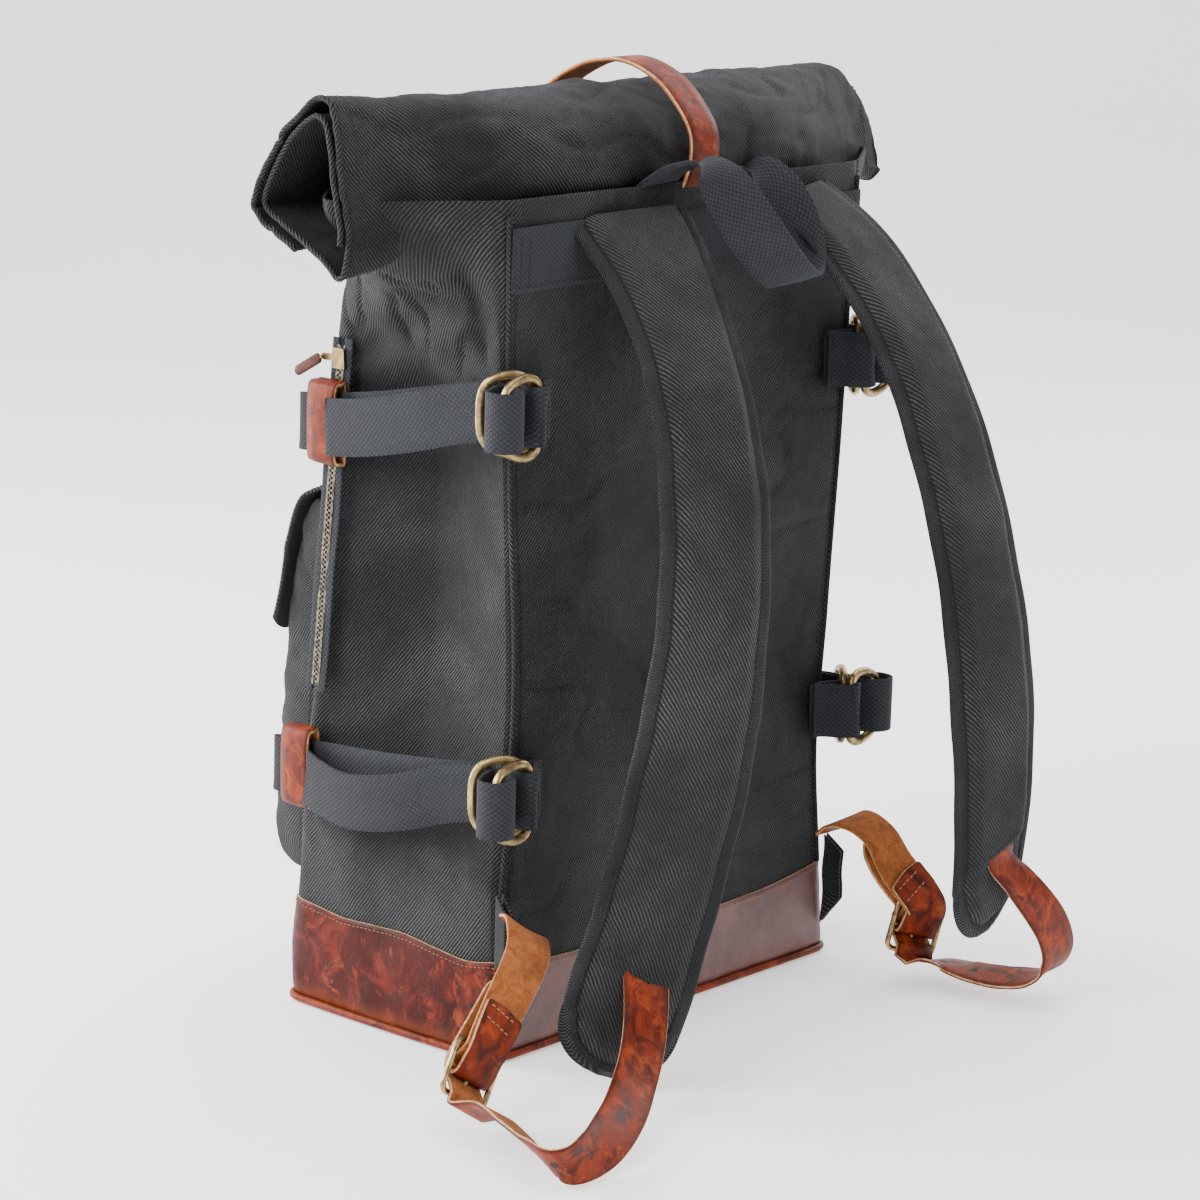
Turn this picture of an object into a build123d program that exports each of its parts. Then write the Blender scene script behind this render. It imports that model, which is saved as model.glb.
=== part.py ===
from build123d import *
import math
import os

import numpy as np

# Roll-top backpack, millimetres. +Z up, origin at the centre of the base's underside.
# +Y is the wearer's back (shoulder straps), -Y is the front (pocket), +X is the wearer's right.

# ---------------------------------------------------------------- driving dimensions
BODY_W = 310.0                  # width across the back
BODY_D = 170.0                  # depth at the base
BACK_H = 490.0                  # top of the back panel, under the roll
FRONT_TOP_Y = -46.5             # the front leans back to here at the top
FRONT_TOP_Z = BACK_H - 2
SIDE_TOP_Z = 468.0
BASE_H = 62.0                   # leather base height
SKIN = 3.0                      # thickness of canvas panels and leather walls
GAP = 0.5                       # clearance between neighbouring panels
LEATHER_Z = 4.9                 # leather walls start above the bottom piping
CORNER_R = 14.0                 # base corners, in plan
WEB_W, WEB_T = 34.0, 1.8        # webbing across the back
BELT_W, BELT_T = 26.0, 1.9      # leather straps
PAD_W, PAD_T = 72.0, 12.0       # shoulder pads
POCKET_W = 230.0

HX, HY = BODY_W / 2, BODY_D / 2
WALL_Z = BASE_H + GAP           # canvas starts here
LEATHER_H = BASE_H - LEATHER_Z
LEAN = (FRONT_TOP_Y + HY) / (FRONT_TOP_Z - BASE_H)
SIDES = (("right", 1), ("left", -1))

os.makedirs("parts", exist_ok=True)

# ---------------------------------------------------------------- helpers


def save(builder, name):
    """Label a finished piece and write its STEP file."""
    builder.part.label = name
    export_step(builder.part, "parts/" + name + ".step")


def prism(name, plane, outline, amount, both=False):
    """Piece extruded from one closed polygon."""
    with BuildPart() as piece:
        with BuildSketch(plane):
            with BuildLine():
                Polyline(*outline, close=True)
            make_face()
        extrude(amount=amount, both=both)
    save(piece, name)


def plate(name, plane, size, thick, center=(0, 0), radius=0):
    """Rectangular sheet, with rounded corners if a radius is given."""
    with BuildPart() as piece:
        with BuildSketch(plane):
            with Locations(center):
                if radius:
                    RectangleRounded(*size, radius)
                else:
                    Rectangle(*size)
        extrude(amount=thick)
    save(piece, name)


def lean_y(z):
    """Y of the leaning front edge at height z."""
    return -HY + LEAN * (z - BASE_H)


def unit(vector):
    vector = np.asarray(vector, float)
    return vector / np.linalg.norm(vector)


def run_length(points):
    """Distance travelled along a polyline, at each of its points."""
    return np.r_[0, np.cumsum(np.linalg.norm(np.diff(points, axis=0), axis=1))]


def resample(rows, count):
    """Catmull-Rom through control rows, evenly spaced along the first three columns."""
    rows = np.asarray(rows, float)
    ext = np.vstack([2 * rows[0] - rows[1], rows, 2 * rows[-1] - rows[-2]])
    dense = []
    for before, start, end, after in zip(ext, ext[1:], ext[2:], ext[3:]):
        for t in np.linspace(0, 1, 24, endpoint=False):
            dense.append(0.5 * (2 * start + (end - before) * t
                                + (2 * before - 5 * start + 4 * end - after) * t ** 2
                                + (3 * start - before - 3 * end + after) * t ** 3))
    dense.append(rows[-1])
    dense = np.array(dense)
    run = run_length(dense[:, :3])
    want = np.linspace(0, run[-1], count)
    return np.stack([np.interp(want, run, column) for column in dense.T], 1)


def ribbon_sections(rows, width, thick):
    """One rectangle per station, square to the run, ready to loft.

    Rows are centre x, y, z, then the direction across the ribbon.
    Width and thickness are single values or one per station.
    """
    centers = rows[:, :3]
    widths = np.broadcast_to(width, len(rows))
    thicks = np.broadcast_to(thick, len(rows))
    tangents = np.gradient(centers, axis=0)
    tangents /= np.linalg.norm(tangents, axis=1)[:, None]
    faces = []
    for center, tangent, across, wide, deep in zip(centers, tangents, rows[:, 3:6], widths, thicks):
        across = unit(across - (across @ tangent) * tangent)
        with BuildSketch(Plane(origin=tuple(center), x_dir=tuple(across),
                               z_dir=tuple(tangent))) as section:
            Rectangle(wide, deep)
        faces.append(section.sketch.face())
    return faces


def ribbon(name, rows, width, thick):
    """Piece lofted along a single ribbon."""
    with BuildPart() as piece:
        loft(ribbon_sections(rows, width, thick), ruled=True)
    save(piece, name)


def strip_outline(path, thick):
    """Outline of a band of the given thickness along a planar polyline, mitred at its bends."""
    path = np.asarray(path, float)
    steps = np.diff(path, axis=0)
    steps /= np.linalg.norm(steps, axis=1)[:, None]
    normals = np.c_[-steps[:, 1], steps[:, 0]]
    offsets = [normals[0]]
    for previous, following in zip(normals, normals[1:]):
        bisector = previous + following
        offsets.append(bisector / (bisector @ following))
    offsets.append(normals[-1])
    offsets = np.array(offsets) * thick / 2
    return [tuple(point) for point in np.vstack([path + offsets, (path - offsets)[::-1]])]


# ---------------------------------------------------------------- body shell
# Right half of the back panel (x, z), from the bottom up, drawn in at the waist
BACK_EDGE = [(HX, WALL_Z), (HX - 9, 130), (HX - 9, 220), (HX - 1, 340), (HX, 420), (HX, BACK_H)]
prism("back_panel", Plane.XZ.offset(-HY), BACK_EDGE + [(-x, z) for x, z in BACK_EDGE[::-1]], SKIN)

plate("back_foam", Plane.XZ.offset(-(HY - SKIN - GAP)), (276, 452), 6, center=(0, 245), radius=20)

FRONT_HALF_W = HX - SKIN - GAP
prism("front_panel", Plane.YZ.offset(-FRONT_HALF_W),
      [(-HY, WALL_Z), (FRONT_TOP_Y, FRONT_TOP_Z), (FRONT_TOP_Y + SKIN, FRONT_TOP_Z),
       (-HY + SKIN, WALL_Z)], 2 * FRONT_HALF_W)

SIDE_REAR_Y = HY - SKIN - 0.4
WAIST_X, BEYOND_SIDE_X = HX - 9.4, HX + 2


def side_panel(side, sx):
    with BuildPart() as panel:
        with BuildSketch(Plane.YZ.offset(sx * HX)):
            with BuildLine():
                Polyline((-HY, WALL_Z), (lean_y(SIDE_TOP_Z - 1), SIDE_TOP_Z),
                         (SIDE_REAR_Y, SIDE_TOP_Z), (SIDE_REAR_Y, WALL_Z), close=True)
            make_face()
        extrude(amount=-sx * SKIN)
        # cutter that follows the waist of the back panel
        with BuildSketch(Plane.XZ.offset(-HY - 1)):
            with BuildLine():
                Polyline((sx * WAIST_X, 125), (sx * WAIST_X, 225), (sx * BEYOND_SIDE_X, 345),
                         (sx * BEYOND_SIDE_X, 64), close=True)
            make_face()
        extrude(amount=4.2, mode=Mode.SUBTRACT)
    save(panel, "side_panel_" + side)


for side, sx in SIDES:
    side_panel(side, sx)

# ---------------------------------------------------------------- leather base
WRAP_D, WRAP_Y = BODY_D - 4, -2         # depth and centre of the wrap's outline
WRAP_OPEN = SKIN + 18                   # the rounded wrap stops this far short of the back
WRAP_END_D, WRAP_END_Y = 17.6, HY - 12.2

with BuildPart() as wrap:
    with BuildSketch(Plane.XY.offset(LEATHER_Z)):
        with Locations((0, WRAP_Y)):
            RectangleRounded(BODY_W, WRAP_D, CORNER_R)
            RectangleRounded(BODY_W - 2 * SKIN, WRAP_D - 2 * SKIN, CORNER_R - SKIN,
                             mode=Mode.SUBTRACT)
    extrude(amount=LEATHER_H)
    # open the back, then run the two side walls straight on
    with BuildSketch(Plane.XY.offset(2)):
        with Locations((0, HY)):
            Rectangle(BODY_W + 20, 2 * WRAP_OPEN)
    extrude(amount=BASE_H, mode=Mode.SUBTRACT)
    for sx in (-1, 1):
        with BuildSketch(Plane.XY.offset(LEATHER_Z)):
            with Locations((sx * (HX - SKIN / 2), WRAP_END_Y)):
                Rectangle(SKIN, WRAP_END_D)
        extrude(amount=LEATHER_H)
save(wrap, "base_leather_wrap")

plate("base_leather_back", Plane.XY.offset(LEATHER_Z), (BODY_W, SKIN), LEATHER_H,
      center=(0, HY - SKIN / 2))
plate("base_leather_bottom", Plane.XY, (BODY_W, BODY_D), SKIN, radius=CORNER_R)
plate("bottom_board", Plane.XY.offset(3.6), (292, 150), 3, center=(0, -1), radius=12)

PIPING_X, PIPING_Y, PIPING_Z = HX + 2.6, HY + 2.6, 2.4
with BuildPart() as piping:
    with BuildLine() as piping_path:
        FilletPolyline((-PIPING_X, -PIPING_Y, PIPING_Z), (PIPING_X, -PIPING_Y, PIPING_Z),
                       (PIPING_X, PIPING_Y, PIPING_Z), (-PIPING_X, PIPING_Y, PIPING_Z),
                       radius=15, close=True)
    piping_wire = piping_path.wires()[0]
    with BuildSketch(Plane(origin=piping_wire @ 0, x_dir=(0, 0, 1), z_dir=piping_wire % 0)):
        Circle(2.1)
    sweep(path=piping_wire)
save(piping, "base_piping")

# lining: an open-topped tapered bag; the inner loft is smaller by twice the 1.2 wall
with BuildPart() as lining:
    for bottom_z, top_z, shrink, mode in ((8, 462, 0, Mode.ADD), (9.2, 463, 2.4, Mode.SUBTRACT)):
        with BuildSketch(Plane.XY.offset(bottom_z)):
            with Locations((0, -2.5)):
                Rectangle(290 - shrink, 153 - shrink)
        with BuildSketch(Plane.XY.offset(top_z)):
            with Locations((0, 16.5)):
                Rectangle(296 - shrink, 115 - shrink)
        loft(mode=mode)
save(lining, "lining")

# ---------------------------------------------------------------- rolled top
# Cross-sections (y, z) at the middle, part way out and at the open ends
ROLL_MID = [(84, 499), (87, 514), (83, 531), (74, 545), (56, 554), (30, 558), (6, 555),
            (-18, 545), (-35, 528), (-41, 510), (-38, 498), (-20, 493), (20, 492), (60, 493)]
ROLL_PART_WAY = [(77, 496), (79, 512), (76, 530), (67, 545), (51, 555), (27, 559), (5, 554),
                 (-17, 543), (-33, 526), (-40, 508), (-36, 494), (-16, 490), (20, 489), (56, 490)]
ROLL_END = [(42, 482), (41, 500), (38, 522), (33, 545), (24, 560), (12, 559), (-2, 549),
            (-16, 530), (-27, 512), (-34, 499), (-24, 489), (-6, 480), (12, 473), (32, 469)]
ROLL_HALF = 233.0
ROLL_STATIONS = [(-ROLL_HALF, ROLL_END), (-130, ROLL_PART_WAY), (0, ROLL_MID),
                 (130, ROLL_PART_WAY), (ROLL_HALF, ROLL_END)]


def roll_sections(stretch, scale):
    """Roll outlines, stretched along X and scaled about the mean of their points."""
    faces = []
    for x, outline in ROLL_STATIONS:
        outline = np.array(outline)
        center = np.mean(outline, axis=0)
        with BuildSketch(Plane.YZ.offset(x * stretch)) as section:
            with BuildLine():
                Polyline(*[tuple(center + (point - center) * scale) for point in outline],
                         close=True)
            make_face()
        faces.append(section.sketch.face())
    return faces


with BuildPart() as roll_top:
    loft(roll_sections(1.0, 1.0), ruled=True)
    loft(roll_sections(1.01, 0.88), ruled=True, mode=Mode.SUBTRACT)
save(roll_top, "roll_top")

# ---------------------------------------------------------------- back webbing, grab handle
plate("back_webbing", Plane.XZ.offset(-(HY + 0.3 + WEB_T)), (BODY_W - 2, WEB_W), WEB_T,
      center=(0, 468))

# Columns: centre x, y, z, then the direction across the handle
HANDLE = [
    (31, 92.2, 500, -1, 0, 0), (33, 103, 507, -.99, .05, 0), (31, 112, 513, -.98, .1, 0),
    (27, 120, 513, -.96, .22, 0), (21, 129, 502, -.92, .38, .05), (14, 134, 488, -.84, .53, .1),
    (6, 137, 474, -.72, .68, .12), (-3, 138, 461, -.66, .74, .14), (-13, 137, 451, -.64, .75, .18),
    (-25, 133, 445, -.64, .74, .2), (-36, 127, 446, -.66, .73, .2), (-43, 120, 455, -.72, .66, .2),
    (-45, 115, 469, -.8, .57, .15), (-45, 110, 484, -.87, .46, .1), (-44, 104, 498, -.94, .3, .05),
    (-43, 98, 503, -.98, .1, 0), (-43, 92.2, 503, -1, 0, 0)]
ribbon("grab_handle", resample(HANDLE, 20), width=31, thick=2.5)

# ---------------------------------------------------------------- shoulder straps
# Columns: centre x, y, z, then the direction across the strap. The right strap hangs
# turned towards the wearer's right; the left strap bows further out.
PADS = {
    "right": [
        (63.4, 91, 487.4, -1, 0, .08), (67.3, 119.5, 457.2, -.98, .16, .07),
        (71.5, 143, 425, -.97, .22, .01), (76.1, 161, 390.5, -.97, .24, -.03),
        (81.1, 174.1, 354.2, -.96, .28, -.05), (86.6, 182.8, 316.5, -.94, .33, -.08),
        (92.7, 187.7, 277.6, -.91, .39, -.11), (99.3, 189.5, 238.1, -.88, .44, -.15),
        (106.6, 188.6, 198.1, -.85, .5, -.17), (114.6, 185.6, 158.2, -.81, .54, -.19),
        (123.4, 181.2, 118.7, -.78, .57, -.2), (132.4, 176.4, 82, -.77, .59, -.2),
        (141.5, 172, 46, -.77, .59, -.18), (148.5, 168.6, 14, -.78, .58, -.16)],
    "left": [
        (-91.9, 90.3, 488.3, -1, 0, 0), (-97.8, 119.3, 468.4, -.99, -.1, .13),
        (-103, 144, 443.3, -.99, -.07, .11), (-107.4, 164.8, 413.9, -.99, -.05, .1),
        (-111.2, 182.2, 381.2, -1, -.02, .09), (-114.4, 196.5, 346.1, -1, .02, .09),
        (-117, 208.3, 309.5, -1, .05, .08), (-119.2, 217.7, 272.2, -1, .08, .07),
        (-120.9, 225, 234.6, -.99, .1, .06), (-122.3, 230, 196.9, -.99, .11, .04),
        (-123.4, 232.7, 159.2, -1, .09, .03), (-124.3, 233.1, 121.9, -1, .04, .02),
        (-124.9, 231.1, 85, -1, -.04, .02), (-125.4, 226.7, 48.7, -.98, -.18, .04)],
}
PAD_TOP_W, PAD_TOP_T = 64.0, 3.4            # at the sewn top
WIDEN_RUN, THICKEN_RUN = 60.0, 45.0         # lengths over which the pad reaches full size
STRAIGHT_STATIONS = 18
TIP_ANGLES = [18, 36, 52, 66, 78, 86]       # degrees round the free end


def pad_sections(rows, start, stop, wide, thick, tip):
    """Pad sections from start to stop short of the free end, which is rounded.

    tip is the least squared width fraction, so the last section isn't a point.
    """
    rows = resample(rows, 400)
    run = run_length(rows[:, :3])
    end = run[-1] - stop
    want = np.r_[np.linspace(start, end - wide / 2, STRAIGHT_STATIONS),
                 end - wide / 2 * (1 - np.sin(np.radians(TIP_ANGLES)))]
    stations = np.stack([np.interp(want, run, column) for column in rows.T], 1)
    to_end = np.clip((end - want) / (wide / 2), 0, 1)
    widths = wide * np.sqrt(np.clip(1 - (1 - to_end) ** 2, tip, 1))
    widths = np.minimum(widths,
                        PAD_TOP_W + (wide - PAD_TOP_W) * np.clip(want / WIDEN_RUN, 0, 1))
    thicks = np.minimum(thick, PAD_TOP_T + (thick - PAD_TOP_T)
                        * np.clip((want - start) / THICKEN_RUN, 0, 1))
    return ribbon_sections(stations, widths, thicks)


for side, rows in PADS.items():
    with BuildPart() as shoulder_pad:
        loft(pad_sections(rows, 0, 0, PAD_W, PAD_T, 0.03), ruled=True)
        loft(pad_sections(rows, 30, 6, PAD_W - 12, PAD_T - 4, 0.06), ruled=True,
             mode=Mode.SUBTRACT)
    save(shoulder_pad, "shoulder_pad_" + side)
    with BuildPart() as pad_foam:
        loft(pad_sections(rows, 46, 12, PAD_W - 22, PAD_T - 7, 0.06), ruled=True)
    save(pad_foam, "pad_foam_" + side)

# ---------------------------------------------------------------- buckles and their straps
FRAME_X, FRAME_Y, FRAME_R = 16.5, 15.6, 4.5     # half sizes and corner radius of the frame
FRAME_WIRE_R, BAR_R, BAR_LEN = 1.8, 1.6, 32.0
BARREL_R, BARREL_BORE_R, BARREL_LEN = 2.75, 1.7, 4.4
PRONG_HEEL, PRONG_TIP = (2.35, 0.9), (17.6, 3.4)    # along, out
PRONG_HEEL_R, PRONG_TIP_R = 1.35, 0.9


class Buckle:
    """Local frame of a buckle, with its origin on the centre bar.

    across follows the bar, along points to the bar the incoming strap passes,
    and out points away from the bag, towards +Y or -Y as out_y says.
    """

    def __init__(self, origin, across, along, out_y=1):
        self.origin = np.array(origin, float)
        self.across = unit(across)
        along = np.array(along, float)
        self.along = unit(along - (along @ self.across) * self.across)
        self.out = np.cross(self.across, self.along)
        if self.out[1] * out_y < 0:
            self.out = -self.out

    def point(self, along, out, across=0.0):
        return self.origin + along * self.along + out * self.out + across * self.across

    def rows(self, pairs):
        """Ribbon rows from (along, out) pairs."""
        return np.array([(*self.point(*pair), *self.across) for pair in pairs])

    def face_plane(self, along=0.0, out=0.0):
        """Plane of the frame: x across, z out."""
        return Plane(origin=tuple(self.point(along, out)), x_dir=tuple(self.across),
                     z_dir=tuple(self.out))

    def bar_plane(self, across):
        """Plane square to the centre bar: z across."""
        return Plane(origin=tuple(self.point(0, 0, across)), x_dir=tuple(self.along),
                     z_dir=tuple(self.across))


def buckle_frame(name, buckle):
    """Rounded rectangle of wire with a centre bar."""
    with BuildPart() as frame:
        with BuildLine(buckle.face_plane()) as frame_line:
            FilletPolyline((-FRAME_X, -FRAME_Y), (FRAME_X, -FRAME_Y), (FRAME_X, FRAME_Y),
                           (-FRAME_X, FRAME_Y), radius=FRAME_R, close=True)
        frame_wire = frame_line.wires()[0]
        with BuildSketch(Plane(origin=frame_wire @ 0, x_dir=tuple(buckle.out),
                               z_dir=frame_wire % 0)):
            Circle(FRAME_WIRE_R)
        sweep(path=frame_wire)
        with BuildSketch(buckle.bar_plane(-BAR_LEN / 2)):
            Circle(BAR_R)
        extrude(amount=BAR_LEN)
    save(frame, name)


def buckle_prong(name, buckle, lean):
    """Barrel on the centre bar and a tapered prong; lean is 1 outwards, -1 towards the bag."""
    heel = buckle.point(PRONG_HEEL[0], lean * PRONG_HEEL[1])
    tip = buckle.point(PRONG_TIP[0], lean * PRONG_TIP[1])
    with BuildPart() as prong:
        with BuildSketch(buckle.bar_plane(-BARREL_LEN / 2)):
            Circle(BARREL_R)
            Circle(BARREL_BORE_R, mode=Mode.SUBTRACT)
        extrude(amount=BARREL_LEN)
        for center, radius in ((heel, PRONG_HEEL_R), (tip, PRONG_TIP_R)):
            with BuildSketch(Plane(origin=tuple(center), x_dir=tuple(buckle.across),
                                   z_dir=tuple(unit(tip - heel)))):
                Circle(radius)
        loft()
    save(prong, name)


def bar_strap(name, rows, buckle):
    """Strap folded round the centre bar, with a slot for the prong through the turn."""
    with BuildPart() as strap:
        loft(ribbon_sections(rows, BELT_W, BELT_T), ruled=True)
        with BuildSketch(buckle.face_plane(3.0, -4.5)):
            Rectangle(6.4, 14)
        extrude(amount=9.5, mode=Mode.SUBTRACT)
    save(strap, name)


def holed_strap(name, rows, width, buckle, hole_along, hole_out):
    """Strap threaded through the buckle, with a long hole for the prong."""
    with BuildPart() as strap:
        loft(ribbon_sections(rows, width, BELT_T), ruled=True)
        with BuildSketch(buckle.face_plane(hole_along, hole_out)):
            SlotOverall(13, 5.2, rotation=90)
        extrude(amount=11, mode=Mode.SUBTRACT)
    save(strap, name)


# ---------------------------------------------------------------- shoulder strap buckles
BUCKLES = {
    "right": Buckle((238, 143, 30), across=(-.80, .19, -.56), along=(.60, .12, -.80)),
    "left": Buckle((-156, 155, 30), across=(-.84, .40, -.30), along=(-.26, .20, -.94)),
}
# Anchor strap: ribbon rows out of the corner tab, then (along, out) pairs round the
# centre bar and back on itself
ANCHOR_ROOT = {
    "right": [(162.5, 95, 79, -.45, .77, -.45), (170, 106, 92, -.5, .72, -.48),
              (186, 122, 92, -.58, .62, -.52)],
    "left": [(-160, 93, 76, -.86, .1, .1), (-154, 110, 88, -.9, .1, 0),
             (-149, 128, 93, -.9, .2, -.1)],
}
ANCHOR_WRAP = [(-60, 5.5), (-40, 4.8), (-20, 4.4), (-16, 4.2), (-9, 1.2), (-4, -2.4), (0, -3.6),
               (2.6, -2.4), (3.7, 0), (2.6, 2.5), (0, 3.9), (-6, 5.4), (-16, 7.2), (-30, 7.7),
               (-44, 8.1)]
# Adjuster strap: heights where it lies on the pad, ribbon rows down and round its slack
# loop, then (along, out) pairs over the lower bar, under the centre bar and on as a tail
ADJUSTER_PAD_Z = {"right": (96, 80, 63), "left": (124, 110, 98)}
ADJUSTER_LOOP = {
    "right": [
        (146, 187.5, 46, -.74, .55, -.3), (160, 199, 36, -.82, .4, -.33),
        (178, 211, 27.5, -.88, .29, -.36), (203, 226, 21, -.89, .25, -.37),
        (231, 239, 17, -.84, .25, -.45), (250, 245, 15.5, -.7, .16, -.68),
        (265, 247, 15, -.58, .04, -.81), (274, 244, 15, -.55, -.1, -.82),
        (277, 237, 15, -.62, -.3, -.72), (269, 219, 15, -.78, -.42, -.45),
        (258, 196, 16, -.89, -.3, -.33), (251, 176, 18, -.92, -.1, -.36)],
    "left": [
        (-132, 249, 86, -.95, .2, .15), (-143, 253.5, 70, -.9, .33, .25),
        (-158, 254, 54, -.8, .45, .3), (-170, 252, 40, -.6, .6, .45),
        (-175, 249, 29, -.4, .6, .65), (-172, 244, 21, -.35, .3, .85),
        (-163, 238, 16.5, -.45, -.05, .87), (-155, 229, 15.2, -.6, -.3, .75),
        (-153, 215, 15, -.75, -.25, .6), (-156, 198, 15, -.85, -.1, .45)],
}
ADJUSTER_CROSS = [(22, 7.0), (15.5, 4.8), (10, 0.6), (5, -4.4), (0, -7.4), (-6, -8.4),
                  (-12, -8.6), (-26, -8.2), (-44, -7.4)]
ADJUSTER_LIFT = PAD_T / 2 + 2.1         # strap centre above the pad centre


def on_pad(rows, z, lift):
    """Ribbon row on a pad's outer side at height z."""
    rows = resample(rows, 400)
    i = int(np.argmin(np.abs(rows[:, 2] - z)))
    across = unit(rows[i, 3:6])
    normal = unit(np.cross(unit(rows[i + 1, :3] - rows[i - 1, :3]), across))
    if normal[1] < 0:
        normal = -normal
    return (*(rows[i, :3] + lift * normal), *across)


def anchor_strap(side, buckle):
    wrap = buckle.rows(ANCHOR_WRAP)
    root = np.array(ANCHOR_ROOT[side], float)
    for row in root:
        facing = 1 if row[3:6] @ buckle.across > 0 else -1
        row[3:6] = facing * unit(row[3:6])
    lead = resample(np.vstack([root, wrap[:3]]), 14)
    turn = resample(wrap[2:], 34)
    bar_strap("anchor_strap_" + side, np.vstack([lead, turn[1:]]), buckle)


def adjuster_strap(side, buckle):
    head = np.array([on_pad(PADS[side], z, ADJUSTER_LIFT) for z in ADJUSTER_PAD_Z[side]]
                    + ADJUSTER_LOOP[side], float)
    for row in head:
        row[3:6] = unit(row[3:6])
    cross = buckle.rows(ADJUSTER_CROSS)
    # keep one sense of the width direction, so the ribbon doesn't flip at the join
    cross[:, 3:6] *= 1 if head[-1][3:6] @ buckle.across > 0 else -1
    rows = resample(np.vstack([head, cross]), 64)
    holed_strap("adjuster_strap_" + side, rows, BELT_W, buckle, 6.5, -7)


# Tab in the rear corner seam that holds the anchor strap: (distance outwards, z)
TAB_OUTLINE = [(2.0, 52), (11.5, 66), (11.5, 88), (2.0, 112)]

for side, sx in SIDES:
    buckle = BUCKLES[side]
    anchor_strap(side, buckle)
    adjuster_strap(side, buckle)
    buckle_frame("buckle_frame_" + side, buckle)
    buckle_prong("buckle_prong_" + side, buckle, lean=-1)
    tab_plane = Plane(origin=(sx * (HX + 0.7), HY - 6.2, 0), x_dir=(sx * .55, .835, 0),
                      z_dir=(.835, -sx * .55, 0))
    prism("corner_tab_" + side, tab_plane, TAB_OUTLINE, 2.0, both=True)

# ---------------------------------------------------------------- side compression straps
# Height of the rings, height of the sewn front end
STRAP_LEVELS = {"upper": (384.0, 358.0), "lower": (162.0, 148.0)}
BAR_X, BAR_Y = 150.0, 99.0      # midpoint of the two ring bars at the right rear corner
RING_BARS = ((BAR_Y - 2.95, -47.0), (BAR_Y + 2.95, -2.0))   # y, ring angle in degrees
WIRE_R = 2.75                   # D-ring wire
RING_HALF_H = 38.0 / 2 + WIRE_R
RING_D = 22.0 + 2 * WIRE_R
# D outline (distance from the bar, height): straight bar, tight corner, full bow
RING_HALF = [(0, 7), (0, 14.5), (1.3, RING_HALF_H - 2.6), (4.6, RING_HALF_H - .25)]
RING_HALF += [(8 + (RING_D - 8) * math.sin(t) ** .67, RING_HALF_H * math.cos(t) ** .67)
              for t in np.radians([18, 38, 56, 72, 83])]
RING_OUTLINE = [(0, 0)] + RING_HALF + [(RING_D, 0)] + [(u, -v) for u, v in RING_HALF[::-1]]

# Loop of webbing in plan (x, y): out from the back panel, round both bars, and back
LOOP_W, LOOP_T = 33.8, 1.8
LOOP_RX, LOOP_RY = 5.0, 8.2
LOOP_PATH = [(118, 88.45), (134, 88.45), (141, 89.8)]
LOOP_PATH += [(BAR_X + LOOP_RX * math.cos(t), BAR_Y + LOOP_RY * math.sin(t))
              for t in np.radians(np.linspace(-118, 118, 17))]
LOOP_PATH += [(141, 103.4), (134, 98), (128, 90.8), (118, 90.8)]

STRAP_X = 161.6                 # plane of the side webbing, clear of the zip under it
STRAP_W, STRAP_T = 30.6, 1.6
RETURN_X = STRAP_X + 2.7        # the returned layer lies outside the first
# Side webbing in plan (x, y), through the rings, over the outer one and back
RING_COURSE = [
    (STRAP_X, 0), (STRAP_X, 50), (STRAP_X - 1.6, 74), (158.2, 87.6), (161, 96), (165, 103.5),
    (170, 109.5), (177, 111), (183.5, 108), (186, 101.5), (184.5, 95), (178.5, 90.8), (170, 87.4),
    (161.7, 83.6), (STRAP_X + 1.2, 75), (RETURN_X, 50), (RETURN_X, 0)]
KEEPER_LEN = 24.0


def d_rings(name, sx, z_ring):
    """Two D-rings side by side, fanned apart about their bars."""
    with BuildPart() as rings:
        for bar_y, degrees in RING_BARS:
            angle = math.radians(degrees)
            reach = (sx * math.cos(angle), math.sin(angle), 0)
            ring_plane = Plane(origin=(sx * BAR_X, bar_y, z_ring), x_dir=reach,
                               z_dir=tuple(np.cross(reach, (0, 0, 1))))
            with BuildLine(ring_plane) as ring_path:
                Spline(*RING_OUTLINE, periodic=True)
            ring_wire = ring_path.wires()[0]
            with BuildSketch(Plane(origin=ring_wire @ 0, x_dir=ring_plane.z_dir,
                                   z_dir=ring_wire % 0)):
                Circle(WIRE_R)
            sweep(path=ring_wire)
    save(rings, "d_rings_" + name)


def side_webbing(name, sx, z_ring, z_front):
    """Side strap, sloping from its front end up to the rings, and its leather keeper."""
    front_y = lean_y(z_front) + 5
    slope = (z_ring - z_front) / (90 - front_y)

    def strap_z(y):
        """Straight slope forward of y = 0, eased to ring height by y = 70."""
        if y > 70:
            return z_ring
        return z_ring - slope * (90 - y) + slope * 20 * max(0, y / 70)

    course = [(STRAP_X, front_y)] + RING_COURSE + [(RETURN_X, front_y + 7)]
    rows = resample([(sx * x, y, strap_z(y), 0, 0, 1) for x, y in course], 74)
    ribbon("side_strap_" + name, rows, STRAP_W, STRAP_T)

    # sleeve round both layers
    keeper_y = front_y + 16
    with BuildPart() as keeper:
        with BuildSketch(Plane(origin=(sx * (STRAP_X + 1.5), keeper_y - KEEPER_LEN / 2,
                                       strap_z(keeper_y)), x_dir=(1, 0, 0), z_dir=(0, -1, 0))):
            RectangleRounded(8.0, 45, 1.5)
            Rectangle(5.4, 42.4, mode=Mode.SUBTRACT)
        extrude(amount=-KEEPER_LEN)
    save(keeper, "strap_keeper_" + name)


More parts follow.
